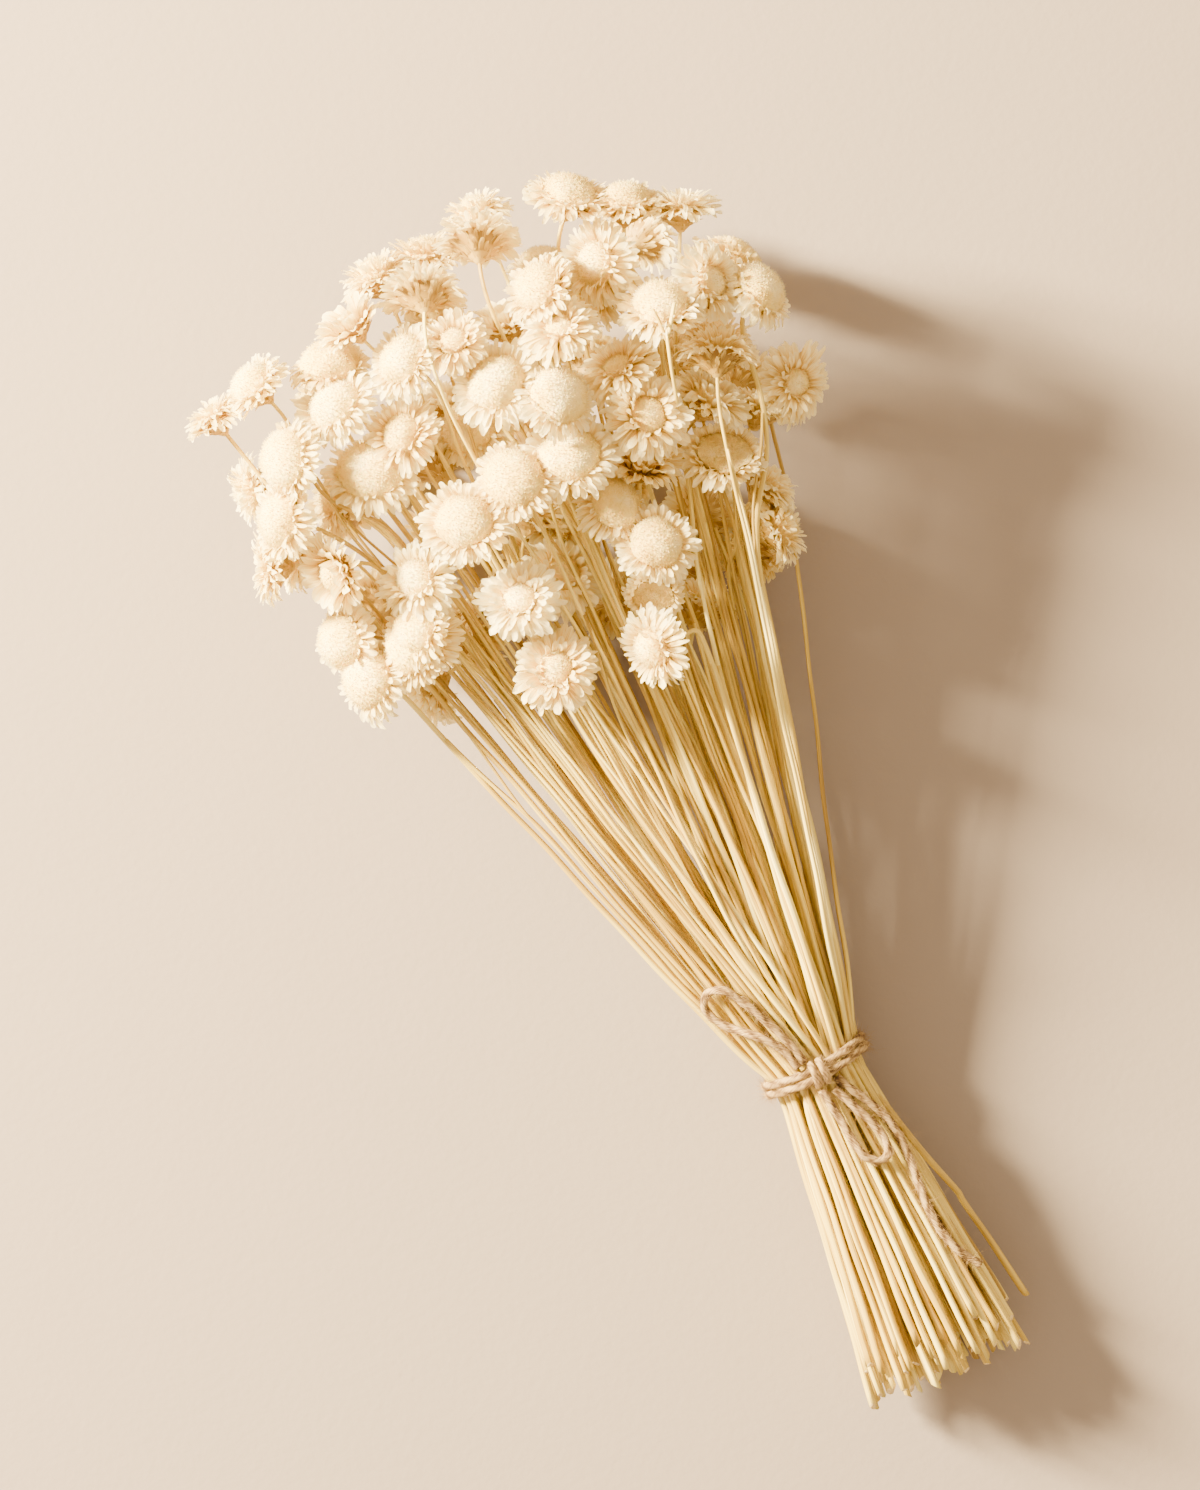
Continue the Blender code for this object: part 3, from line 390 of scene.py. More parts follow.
def partHeads(heads, linked, near, move):
    one, other = near
    both = linked[one, other]
    reach, way = deepestReach(heads, one, other, np.where(both, bunch["coreScale"], 1.0))
    depth = np.where(both, np.clip(-bunch["coreDepth"] - reach, -2.0, 9.0), np.clip(0.7 - reach, 0.0, 9.0))
    push = way * (depth * 0.3)[:, None]
    np.add.at(move, one, push)
    np.add.at(move, other, -push)


def sideways(way, arm):
    aside = way * (1.0, 0.0, 1.0)
    arm = arm * (1.0, 0.0, 1.0)
    arm /= np.linalg.norm(arm, axis=1, keepdims=True) + 1e-6
    weak = 1.0 - np.linalg.norm(aside, axis=1, keepdims=True)
    return aside + arm * weak * 0.7


def partStems(heads, stems, move):
    points = stems.points()
    owner, station = np.nonzero(stems.used)
    flat = points[owner, station]
    gap = np.linalg.norm(flat[:, None] - heads.centres[None], axis=-1)
    row, head = np.nonzero(gap < 15.0)
    reach, way = outside(flat[row], heads.centres[head], heads.axes[head], heads.sizes[head])
    depth = np.clip(stems.radii[station[row]] + 1.1 - reach, 0.0, 6.0)
    depth[(owner[row] == head) & (gap[row, head] < 9.0)] = 0.0
    aside = sideways(way, flat[row] - heads.centres[head])
    bend = np.zeros_like(points)
    np.add.at(bend, (owner[row], station[row]), aside * (depth * 0.5)[:, None])
    stems.lines += bend[..., [0, 2]]
    np.add.at(move, head, -way * (depth * 0.2)[:, None])


def partNecks(heads, stems, move):
    necks = stems.necks(heads)
    tips = heads.stemEnds()
    ends = stems.points()[stems.owners, stems.last - 1]
    runs = ((tips, necks, 0.0, 0.0), (tips, necks, 0.4, 0.4), (tips, necks, 1.0, 1.0),
            (necks, ends, 0.35, 0.65), (necks, ends, 0.7, 0.3))
    for a, b, part, give in runs:
        points = a + (b - a) * part
        gap = np.linalg.norm(points[:, None] - heads.centres[None], axis=-1)
        np.fill_diagonal(gap, 99.0)
        owner, head = np.nonzero(gap < 15.0)
        reach, way = outside(points[owner], heads.centres[head], heads.axes[head], heads.sizes[head])
        push = way * (np.clip(bunch["stemRadiusHead"] + 0.9 - reach, 0.0, 6.0) * 0.2)[:, None]
        np.add.at(stems.bends, owner, 2.0 * give * push)
        np.add.at(move, owner, push)
        np.add.at(move, head, -push)
    stems.bends = np.clip(stems.bends * 0.985, -bunch["neckBend"], bunch["neckBend"])


def settle(heads, stems, linked, rounds, stiffness):
    hold = np.where(heads.layers == 0, 0.10, 0.04)
    hold[heads.resting] = 0.3
    for turn in range(rounds):
        if turn % 8 == 0:
            gap = np.linalg.norm(heads.centres[:, None] - heads.centres[None], axis=-1)
            np.fill_diagonal(gap, 99.0)
            near = np.nonzero(gap < 25.0)
        move = np.zeros_like(heads.centres)
        partHeads(heads, linked, near, move)
        stems.partFromEachOther()
        stems.smooth(heads, stiffness)
        partNecks(heads, stems, move)
        partStems(heads, stems, move)
        back = heads.homes - heads.centres
        move[:, :2] += back[:, :2] * hold[:, None]
        move[:, 2] += back[:, 2] * 0.02
        move[heads.resting, 2] = 0.0
        heads.centres += np.clip(move, -1.5, 1.5)
        low = (heads.centres[:, None] + heads.local)[..., 2].min(1)
        sunk = np.maximum(0.0, -0.5 - low)
        sunk[heads.resting] = 0.0
        heads.centres[:, 2] += sunk


def distanceApart(heads, i, j):
    one, other = np.array((i, j)), np.array((j, i))
    gap = np.linalg.norm(heads.centres[i] - heads.centres[j])
    reach, _ = deepestReach(heads, one, other, np.ones(2))
    ends = heads.stemEnds()[one]
    clear, _ = outside(ends, heads.centres[other], heads.axes[other], heads.sizes[other])
    score = reach.min() + 0.12 * gap - 2.0 * abs(float(heads.axes[i] @ heads.axes[j]))
    return score + 4.0 * max(0.0, 2.5 - clear.min())


def chooseGroups(heads, nodes):
    total = len(heads.centres)
    gap = np.linalg.norm(heads.centres[:, None] - heads.centres[None], axis=-1)
    for single in (heads.resting, np.array(heads.cups)):
        gap[single] = gap[:, single] = 99.0
    found = sorted((distanceApart(heads, i, j), i, j) for i, j in zip(*np.nonzero(np.triu(gap < 22.0, 1))))
    group = np.arange(total)
    linked = np.zeros((total, total), bool)
    for most in (2, 3):
        for _, i, j in found:
            joined = (group == group[i]) | (group == group[j])
            if len(set(group)) > nodes and group[i] != group[j] and joined.sum() <= most:
                group[joined] = min(group[i], group[j])
                linked[i, j] = linked[j, i] = True
    return group, linked


def joinPressed(heads, group):
    gap = np.linalg.norm(heads.centres[:, None] - heads.centres[None], axis=-1)
    one, other = np.nonzero((gap < 25.0) & (group[:, None] != group[None]))
    reach, _ = deepestReach(heads, one, other, np.ones(len(one)))
    for i, j, deep in zip(one, other, reach):
        if deep < -0.3:
            group[group == group[j]] = group[i]


def closeUp(heads, linked):
    for i, j in zip(*np.nonzero(np.triu(linked, 1))):
        reach, _ = deepestReach(heads, np.array((i, j)), np.array((j, i)), np.full(2, bunch["coreScale"]))
        way = heads.centres[j] - heads.centres[i]
        step = way / np.linalg.norm(way) * max(0.0, reach.min() + bunch["coreDepth"]) / 2.0
        heads.centres[i] += step
        heads.centres[j] -= step


def makeLayout():
    heads = Heads()
    stems = Stems(heads, tiePlaces(heads))
    alone = np.zeros((len(heads.centres),) * 2, bool)
    settle(heads, stems, alone, 140, 0.35)
    group, linked = chooseGroups(heads, bunch["headNodes"])
    heads.homes = heads.centres.copy()
    for rounds, stiffness in ((120, 0.35), (60, 0.12), (140, 0.05)):
        settle(heads, stems, linked, rounds, stiffness)
    closeUp(heads, linked)
    joinPressed(heads, group)
    return heads, stems, group


def smoothCurve(points, step):
    points = np.array(points, float)
    ends = np.concatenate([[2 * points[0] - points[1]], points, [2 * points[-1] - points[-2]]])
    found = []
    for a, b, c, d in zip(ends[:-3], ends[1:-2], ends[2:-1], ends[3:]):
        count = max(1, round(np.linalg.norm(c - b) / step))
        for t in np.arange(count) / count:
            found.append(
                0.5 * (2 * b + (c - a) * t + (2 * a - 5 * b + 4 * c - d) * t**2 + (3 * b - a - 3 * c + d) * t**3)
            )
    found.append(points[-1])
    return np.array(found)


def simplify(points, slack):
    if len(points) < 3:
        return list(points)
    run = points[-1] - points[0]
    along = np.clip(((points - points[0]) @ run) / (run @ run), 0.0, 1.0)
    off = np.linalg.norm(points - points[0] - along[:, None] * run, axis=1)
    worst = int(off.argmax())
    if off[worst] < slack:
        return [points[0], points[-1]]
    return simplify(points[:worst + 1], slack)[:-1] + simplify(points[worst:], slack)


def cutEnd(place, number):
    length = bunch["cutShortest"] + (bunch["cutLength"] - bunch["cutShortest"]) * ((number * 0.618034 + 0.15) % 1.0)
    part = length / bunch["cutLength"]
    x = place[0] * (bunch["tieHalfWidth"] + bunch["cutSpread"] * part)
    z = 14.0 + place[1] * (bunch["tieHalfHeight"] + bunch["cutRise"] * part)
    return np.array((x, -length, z))


def clearOfHeads(line, heads, number):
    line = np.array(line)
    free = np.ones(len(line))
    free[:3] = free[-1] = 0.0
    for _ in range(30):
        starts, parts = [], []
        for k in range(2, len(line) - 1):
            count = max(2, round(np.linalg.norm(line[k + 1] - line[k]) / 1.5))
            starts += [k] * count
            parts += list(np.arange(count) / count)
        starts, parts = np.array(starts), np.array(parts)[:, None]
        points = line[starts] * (1.0 - parts) + line[starts + 1] * parts
        gap = np.linalg.norm(points[:, None] - heads.centres[None], axis=-1)
        row, head = np.nonzero(gap < 13.0)
        reach, way = outside(points[row], heads.centres[head], heads.axes[head], heads.sizes[head])
        depth = np.interp(points[row, 1], bunch["radiusAt"], bunch["radii"]) + 0.35 - reach
        depth[(head == number) & (gap[row, head] < 9.0)] = 0.0
        depth = np.clip(depth, 0.0, 3.0)
        if depth.max(initial=0.0) < 0.05:
            break
        push = way * (depth * 0.5)[:, None]
        shift = np.zeros_like(line)
        np.add.at(shift, starts[row], push * (1.0 - parts[row]))
        np.add.at(shift, starts[row] + 1, push * parts[row])
        line += np.clip(shift, -0.8, 0.8) * free[:, None]
    return list(line)


def stopBefore(line, heads, number):
    base, end = line[-2], line[-1]
    others = np.arange(len(heads.centres)) != number
    for part in np.arange(1.0, 0.1, -0.05):
        spot = base + (end - base) * part
        reach, _ = outside(spot, heads.centres[others], heads.axes[others], heads.sizes[others])
        if reach.min() > bunch["stemRadiusHead"] + bunch["calyxGap"]:
            break
    return line[:-1] + [spot]


def stemLine(heads, stems, number):
    x, z = stems.tie[number]
    end = cutEnd(stems.places[number], number)
    middle = np.array((x, -bunch["coreLength"] / 2.0, z))
    upper = [np.array((x, bunch["coreLength"] / 2.0, z))] + list(stems.points()[number, :stems.last[number]])
    base = heads.stemEnds()[number]
    neck = stems.necks(heads)[number]
    fine = smoothCurve(upper + [neck, (neck + base) / 2.0, base], 3.0)
    line = clearOfHeads([end, middle] + simplify(fine, bunch["lineSlack"]), heads, number)
    return stopBefore(line, heads, number)


def surfaceHeight(heads, stems, x, y, reach):
    best = 0.0
    for number, place in enumerate(stems.places):
        if y >= 0.0:
            line = np.concatenate([[stems.tie[number]], stems.lines[number, :6]])
            at = np.concatenate([[0.0], stems.along[:6]])
            sx, sz = np.interp(y, at, line[:, 0]), np.interp(y, at, line[:, 1])
        else:
            end = cutEnd(place, number)
            part = min(1.0, y / end[1])
            sx = stems.tie[number, 0] + (end[0] - stems.tie[number, 0]) * part
            sz = stems.tie[number, 1] + (end[2] - stems.tie[number, 1]) * part
        off = abs(x - sx)
        if off < reach:
            best = max(best, sz + math.sqrt(reach**2 - off**2))
    return best


def twineRoute(heads, stems, route):
    reach = bunch["stemRadiusCut"] + twine["twineRadius"] + 0.45
    flat = smoothCurve([(*seen(*spot), 0.0) for spot in route], 3.6)
    heights = [surfaceHeight(heads, stems, x, y, reach) for x, y, _ in flat]
    for _ in range(2):
        padded = [heights[0]] + heights + [heights[-1]]
        heights = [max(b, (a + b + c) / 3.0) for a, b, c in zip(padded, padded[1:], padded[2:])]
    flat[:, 2] = heights
    return flat


def meshObject(name, points, faces, slots=None, materials=(), smooth=True):
    mesh = bpy.data.meshes.new(name)
    mesh.from_pydata([tuple(p) for p in points], [], [tuple(f) for f in faces])
    for material in materials:
        mesh.materials.append(material)
    if slots is not None:
        mesh.polygons.foreach_set("material_index", np.array(slots, np.int32))
    if smooth:
        mesh.polygons.foreach_set("use_smooth", np.ones(len(mesh.polygons), bool))
    mesh.update()
    obj = bpy.data.objects.new(name, mesh)
    bpy.context.scene.collection.objects.link(obj)
    return obj


def giveAttribute(mesh, name, values):
    layer = mesh.attributes.get(name) or mesh.attributes.new(name, "FLOAT", "POINT")
    layer.data.foreach_set("value", np.asarray(values, np.float32))


def takeAttribute(mesh, name):
    values = np.zeros(len(mesh.vertices), np.float32)
    layer = mesh.attributes.get(name)
    if layer is not None and len(layer.data) == len(mesh.vertices):
        layer.data.foreach_get("value", values)
    return values


def seat(obj, node):
    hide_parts(*([node] if isinstance(node, str) else node))
    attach(obj, "root")


# Twine: jute, two plies laid together, fuzzy, with painted shade darkening the lay between the plies
twine = {
    "twineRadius": 1.1,
    "twineGap": 0.7,
    "strands": (-1.2, 1.2),
    "knotTurns": (-1.15, 1.15),
    "knotRadius": 2.3,
    "bowLeft": (
        (-3.6, 2.6), (-7.0, 7.0), (-13.0, 12.8), (-19.0, 17.8), (-24.0, 20.8), (-27.6, 20.2),
        (-28.8, 17.2), (-27.0, 14.0), (-22.5, 11.3), (-16.0, 9.3), (-9.5, 6.2), (-5.0, 1.2),
    ),
    "bowRight": (
        (0.9, -4.4), (3.0, -8.0), (6.2, -12.8), (8.8, -17.4), (11.4, -20.8), (15.0, -22.2),
        (17.6, -20.4), (16.8, -16.8), (13.4, -12.4), (8.6, -8.2), (4.0, -4.0),
    ),
    "tail": (
        (4.6, -1.2), (8.6, -4.4), (13.4, -8.0), (18.0, -12.4), (21.4, -18.0), (23.6, -23.4),
        (25.6, -28.8), (27.8, -34.4), (31.0, -40.0), (35.6, -45.0), (41.0, -48.4),
    ),
    "plies": 2,
    "layLength": 7.0,
    "sides": 14,
    "step": 0.55,
}


def frameAlong(points, closed=False):
    # tangent and two directions across, carried along without turning
    points = np.array(points, float)
    if closed:
        tangent = np.roll(points, -1, 0) - np.roll(points, 1, 0)
    else:
        tangent = np.gradient(points, axis=0)
    tangent /= np.linalg.norm(tangent, axis=1, keepdims=True) + 1e-9
    side = np.zeros_like(points)
    last = np.cross(tangent[0], (0.0, 0.0, 1.0))
    if np.linalg.norm(last) < 0.2:
        last = np.cross(tangent[0], (0.0, 1.0, 0.0))
    for i, way in enumerate(tangent):
        last = last - way * (last @ way)
        last /= np.linalg.norm(last) + 1e-9
        side[i] = last
    return tangent, side, np.cross(tangent, side)


def tubeMesh(points, radii, sides, closed=False, shape=None):
    # rings of vertices along the points; shape(turn, ring number) scales each ring's radius
    tangent, side, up = frameAlong(points, closed)
    turns = 2.0 * math.pi * np.arange(sides) / sides
    scale = np.ones((len(points), sides)) if shape is None else shape(turns[None], np.arange(len(points))[:, None])
    reach = np.asarray(radii, float)[:, None] * scale
    across = side[:, None] * np.cos(turns)[None, :, None] + up[:, None] * np.sin(turns)[None, :, None]
    verts = (np.asarray(points, float)[:, None] + across * reach[..., None]).reshape(-1, 3)
    faces = []
    rings = len(points)
    for i in range(rings if closed else rings - 1):
        a, b = i * sides, (i + 1) % rings * sides
        faces += [(a + j, a + (j + 1) % sides, b + (j + 1) % sides, b + j) for j in range(sides)]
    if not closed:
        faces += [tuple(range(sides))[::-1], tuple(range((rings - 1) * sides, rings * sides))]
    return verts, faces


def ropeMesh(points, radius, closed=False, thin=None):
    points = np.array(points, float)
    length = np.r_[0.0, np.cumsum(np.linalg.norm(np.diff(points, axis=0), axis=1))]
    whole = length[-1] + (np.linalg.norm(points[0] - points[-1]) if closed else 0.0)
    lays = max(1.0, whole / twine["layLength"])
    if closed:
        lays = float(round(lays))
    twist = math.pi * lays * length / whole * twine["plies"] / 2.0

    def shape(turn, ring):
        lobe = np.abs(np.cos(twine["plies"] / 2.0 * (turn - twist[ring] * 2.0 / twine["plies"])))
        fibre = 0.04 * np.sin(5.0 * turn - 4.0 * twist[ring]) + 0.03 * np.sin(11.0 * turn + 5.0 * twist[ring])
        return 0.84 + 0.17 * lobe**0.7 + fibre

    radii = np.full(len(points), radius) if thin is None else radius * thin(length / whole)
    verts, faces = tubeMesh(points, radii, twine["sides"], closed, shape)
    turns = 2.0 * math.pi * np.arange(twine["sides"]) / twine["sides"]
    # the plies' crowns and lay, kept for the jute's painted shade
    lobe = np.abs(np.cos(twine["plies"] / 2.0 * (turns[None] - twist[:, None] * 2.0 / twine["plies"])))
    lay = (turns[None] * 1.0 + twist[:, None]).ravel()
    return verts, faces, lobe.ravel(), lay, np.repeat(length, twine["sides"])


def evenly(points, step, closed=False):
    points = np.array(points, float)
    if closed:
        points = np.r_[points, points[:1]]
    length = np.r_[0.0, np.cumsum(np.linalg.norm(np.diff(points, axis=0), axis=1))]
    count = max(3, int(round(length[-1] / step)))
    at = np.linspace(0.0, length[-1], count + 1)
    found = np.stack([np.interp(at, length, points[:, k]) for k in range(3)], 1)
    return found[:-1] if closed else found


def smoothClosed(points, step):
    points = np.array(points, float)
    wrapped = np.r_[points[-3:], points, points[:4]]
    fine = smoothCurve(wrapped, step / 3.0)
    first = int(np.argmin(np.linalg.norm(fine - points[0], axis=1)[:len(fine) // 2]))
    behind = np.linalg.norm(fine - points[0], axis=1)
    behind[:len(fine) // 2] = 99.0
    return evenly(fine[first:int(behind.argmin())], step, True)


def juteMaterial():
    # jute: bast fibres spun and laid, a matt brown with fibre streaks and patches; the plies' crowns are painted
    # lighter and the lay between them darker, as painted shade
    material, tree, shader, out = startMaterial("spun jute")
    lobe = addNode(tree, "ShaderNodeAttribute", {"attribute_name": "lobe"})
    lay = addNode(tree, "ShaderNodeAttribute", {"attribute_name": "lay"})
    along = addNode(tree, "ShaderNodeAttribute", {"attribute_name": "along"})
    place = addNode(tree, "ShaderNodeCombineXYZ", links={"X": lay.outputs["Fac"], "Y": along.outputs["Fac"]})
    drawn = addNode(tree, "ShaderNodeMapping", links={"Vector": place.outputs["Vector"]})
    drawn.inputs["Scale"].default_value = (1.3, 0.14, 1.0)  # fibres lie lengthwise, 3 mm streaks
    fibre = addNode(tree, "ShaderNodeTexNoise", links={"Vector": drawn.outputs["Vector"]}, Scale=2.6, Detail=4.0)
    where = addNode(tree, "ShaderNodeTexCoord")
    patch = addNode(tree, "ShaderNodeTexNoise", links={"Vector": where.outputs["Object"]}, Scale=260.0, Detail=2.0)
    # painted shade: darker in the lay between the plies, lighter on their crowns, from the lobe
    total = addNode(tree, "ShaderNodeMath", {"operation": "MULTIPLY_ADD"},
                    {"Value": lobe.outputs["Fac"]})
    total.inputs[1].default_value = 0.28
    tree.links.new(fibre.outputs["Fac"], total.inputs[2])
    mixed = addNode(tree, "ShaderNodeMath", {"operation": "MULTIPLY_ADD"}, {"Value": patch.outputs["Fac"]})
    mixed.inputs[1].default_value = 0.3
    tree.links.new(total.outputs["Value"], mixed.inputs[2])
    tone = rampNode(tree, mixed.outputs["Value"], (
        (0.52, "#35240F"), (0.66, "#64492A"), (0.80, "#8E7145"), (0.94, "#BDA273")))
    tree.links.new(tone.outputs["Color"], shader.inputs["Base Color"])
    shader.inputs["Roughness"].default_value = 0.9
    bump = addNode(tree, "ShaderNodeBump", links={"Height": fibre.outputs["Fac"]}, Strength=1.0, Distance=0.0005)
    tree.links.new(bump.outputs["Normal"], shader.inputs["Normal"])
    return material


def hairTree():
    # hairs scattered on a mesh: each stands at a random lean, curved and tapering
    tree = bpy.data.node_groups.new("loose hairs", "GeometryNodeTree")
    face = tree.interface
    face.new_socket("Geometry", in_out="INPUT", socket_type="NodeSocketGeometry")
    for name, kind, value in (("Density", "NodeSocketFloat", 1e5), ("Seed", "NodeSocketInt", 1),
                              ("Lean", "NodeSocketFloat", 1.0), ("Hair", "NodeSocketObject", None),
                              ("Shortest", "NodeSocketFloat", 0.5), ("Longest", "NodeSocketFloat", 1.0),
                              ("Material", "NodeSocketMaterial", None)):
        socket = face.new_socket(name, in_out="INPUT", socket_type=kind)
        if value is not None:
            socket.default_value = value
    face.new_socket("Geometry", in_out="OUTPUT", socket_type="NodeSocketGeometry")
    given = addNode(tree, "NodeGroupInput")
    spots = addNode(tree, "GeometryNodeDistributePointsOnFaces", {"distribute_method": "RANDOM"}, {
        "Mesh": given.outputs["Geometry"], "Density": given.outputs["Density"], "Seed": given.outputs["Seed"]})
    lean = addNode(tree, "FunctionNodeRandomValue", {"data_type": "FLOAT_VECTOR"}, {"Seed": given.outputs["Seed"]})
    low = addNode(tree, "ShaderNodeVectorMath", {"operation": "SCALE"}, {"Scale": given.outputs["Lean"]})
    low.inputs[0].default_value = (-1.0, -1.0, -3.14)
    high = addNode(tree, "ShaderNodeVectorMath", {"operation": "SCALE"}, {"Scale": given.outputs["Lean"]})
    high.inputs[0].default_value = (1.0, 1.0, 3.14)
    tree.links.new(low.outputs["Vector"], lean.inputs[0])
    tree.links.new(high.outputs["Vector"], lean.inputs[1])
    turned = addNode(tree, "FunctionNodeRotateRotation", {"rotation_space": "LOCAL"}, {
        "Rotation": spots.outputs["Rotation"], "Rotate By": lean.outputs[0]})
    size = addNode(tree, "FunctionNodeRandomValue", {"data_type": "FLOAT"}, {"Seed": given.outputs["Seed"]})
    tree.links.new(given.outputs["Shortest"], size.inputs[2])
    tree.links.new(given.outputs["Longest"], size.inputs[3])
    hair = addNode(tree, "GeometryNodeObjectInfo", links={"Object": given.outputs["Hair"]})
    copies = addNode(tree, "GeometryNodeInstanceOnPoints", links={
        "Points": spots.outputs["Points"], "Instance": hair.outputs["Geometry"],
        "Rotation": turned.outputs["Rotation"], "Scale": size.outputs[1]})
    real = addNode(tree, "GeometryNodeRealizeInstances", links={"Geometry": copies.outputs["Instances"]})
    finish = addNode(tree, "GeometryNodeSetMaterial", links={
        "Geometry": real.outputs["Geometry"], "Material": given.outputs["Material"]})
    addNode(tree, "NodeGroupOutput", links={"Geometry": finish.outputs["Geometry"]})
    return tree


def growFrom(obj, tree, **values):
    # runs a tree on an object and gives the plain mesh that comes out
    step = obj.modifiers.new("grow", "NODES")
    step.node_group = tree
    sockets = {item.name: item.identifier for item in tree.interface.items_tree
               if item.item_type == "SOCKET" and item.in_out == "INPUT"}
    for name, value in values.items():
        step[sockets[name.replace("_", " ")]] = value
    obj.update_tag()
    bpy.context.view_layer.update()
    graph = bpy.context.evaluated_depsgraph_get()
    mesh = bpy.data.meshes.new_from_object(obj.evaluated_get(graph), preserve_all_data_layers=True, depsgraph=graph)
    obj.modifiers.remove(step)
    return mesh


def hairBlade(name, length, radius, bend, parts):
    # one thin three-sided hair, pointing up and curving over
    points = [(bend * (k / parts) ** 2, 0.0, length * k / parts) for k in range(parts + 1)]
    radii = [radius * (1.0 - 0.85 * k / parts) for k in range(parts + 1)]
    verts, faces = tubeMesh(np.array(points) * mm, np.array(radii) * mm, 3)
    obj = meshObject(name, verts, faces[:-2])
    # loose fibres take the crowns' lighter tone of that painted shade
    giveAttribute(obj.data, "lobe", np.full(len(verts), 0.9))
    giveAttribute(obj.data, "lay", np.zeros(len(verts)))
    giveAttribute(obj.data, "along", np.repeat(np.arange(parts + 1) / parts, 3))
    return obj


def shifted(points):
    return (np.asarray(points, float) + bunch["originShift"]) * mm


def makeRope(name, parts, material):
    # parts: (points, radius, closed, thin); one object with the attributes that the jute reads
    allVerts, allFaces, lobes, lays, alongs = [], [], [], [], []
    for points, radius, closed, thin in parts:
        verts, faces, lobe, lay, along = ropeMesh(points, radius, closed, thin)
        start = len(allVerts)
        allVerts += list(shifted(verts))
        allFaces += [tuple(start + i for i in face) for face in faces]
        lobes += list(lobe)
        lays += list(lay)
        alongs += list(along)
    obj = meshObject(name, allVerts, allFaces, materials=[material])
    for key, values in (("lobe", lobes), ("lay", lays), ("along", alongs)):
        giveAttribute(obj.data, key, values)
    return obj


def makeTwine(heads, stems):
    jute = juteMaterial()
    radius = twine["twineRadius"]
    wide = bunch["tieHalfWidth"] + bunch["stemRadiusCut"] + twine["twineGap"] + radius + 0.1
    high = bunch["tieHalfHeight"] + bunch["stemRadiusCut"] + twine["twineGap"] + radius + 0.1
    parts = []
    for offset in twine["strands"]:
        turns = 2.0 * math.pi * np.arange(18) / 18
        spots = [(wide * math.cos(t), offset + 1.6 * (1.0 - max(0.0, math.sin(t)) ** 2) + 0.9 * math.cos(t),
                  bunch["tieHeight"] + high * math.sin(t)) for t in turns]
        parts.append((smoothClosed(spots, twine["step"]), radius, True, None))
    for offset in twine["knotTurns"]:
        turns = 2.0 * math.pi * np.arange(8) / 8
        spots = [(offset + 0.4 * math.sin(t), twine["knotRadius"] * 1.15 * math.cos(t),
                  bunch["tieHeight"] + high + 0.5 + 0.72 * twine["knotRadius"] * math.sin(t)) for t in turns]
        parts.append((smoothClosed(spots, twine["step"] * 0.7), radius, True, None))
    tie = makeRope("twineTie", parts, jute)
    pieces = [(tie, "twine_tie")]
    for name, node, route, farEnd in (("twineBowLeft", "twine_bow_left", twine["bowLeft"], "object"),
                                      ("twineBowRight", "twine_bow_right", twine["bowRight"], "object"),
                                      ("twineTail", "twine_tail", twine["tail"], "bare")):
        line = twineRoute(heads, stems, route)
        fine = evenly(smoothCurve(line, 0.6), twine["step"])
        cord = makeRope(name, [(fine, radius, False, None)], jute)
        path = shifted(fine)
        length = float(np.linalg.norm(np.diff(path, axis=0), axis=1).sum())
        seat(cord, node)
        pieces.append((cord, node))
        print(f"{name}: {length / mm:.1f} mm long")
    seat(tie, "twine_tie")

    # loose fibres standing off the twine, three lengths
    tree = hairTree()
    for kind, (length, radiusHair, bend, share) in enumerate(((1.6, 0.04, 0.9, 0.55), (3.0, 0.035, 1.8, 0.33), (5.5, 0.035, 3.0, 0.12))):
        hair = hairBlade(f"hair{kind}", length, radiusHair, bend, 4)
        for piece, node in pieces:
            mesh = growFrom(piece, tree, Density=share * 1.8e6, Seed=5 + kind, Lean=0.9, Hair=hair,
                            Shortest=0.5, Longest=1.1, Material=jute)
            for vertex in mesh.vertices:
                vertex.co.z = max(vertex.co.z, 0.0)
            fuzz = bpy.data.objects.new(f"{piece.name}Fibres{kind}", mesh)
            bpy.context.scene.collection.objects.link(fuzz)
            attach(fuzz, "root")
        bpy.data.objects.remove(hair)


# Stems: dried straw, ribbed and a little flattened, with thinner ones between them
straw = {
    "radiusAt": (-85.0, -20.0, 20.0, 70.0, 130.0, 200.0),
    "radii": (0.9, 0.84, 0.78, 0.64, 0.54, 0.5),
    "sides": 6,
    "step": 3.4,
    "fairing": 7.0,
    "wave": 0.22,
    "waveLength": 70.0,
    "flatness": 0.14,
    "shear": 1.1,
    "thinCount": 96,
    "thinSize": 0.8,
    # a stem that has come loose on the right: across and up from the knot as seen, and height
    "loose": (
        (1.5, 46.0, 22.0), (5.5, 20.0, 19.0), (9.3, 2.5, 17.0), (18.5, -10.0, 19.0), (27.0, -20.8, 20.5),
        (35.6, -30.4, 16.5), (36.8, -32.8, 16.0), (44.8, -45.0, 12.5), (53.0, -56.8, 9.0),
    ),
    # a stem without a flower that forks in front of a dome, with heights over that dome's middle
    "forkHead": 17,
    "fork": (
        ((-35.0, 156.0, -22.0), (-35.8, 163.0, -9.0), (-36.6, 171.0, 3.0), (-37.6, 178.0, 8.6), (-38.6, 184.0, 9.6)),
        ((-38.4, 182.4, 9.3), (-40.0, 186.4, 9.6), (-42.0, 190.0, 9.2)),
        ((-38.4, 182.9, 9.3), (-37.4, 187.4, 9.8), (-36.6, 191.6, 9.4)),
    ),
}


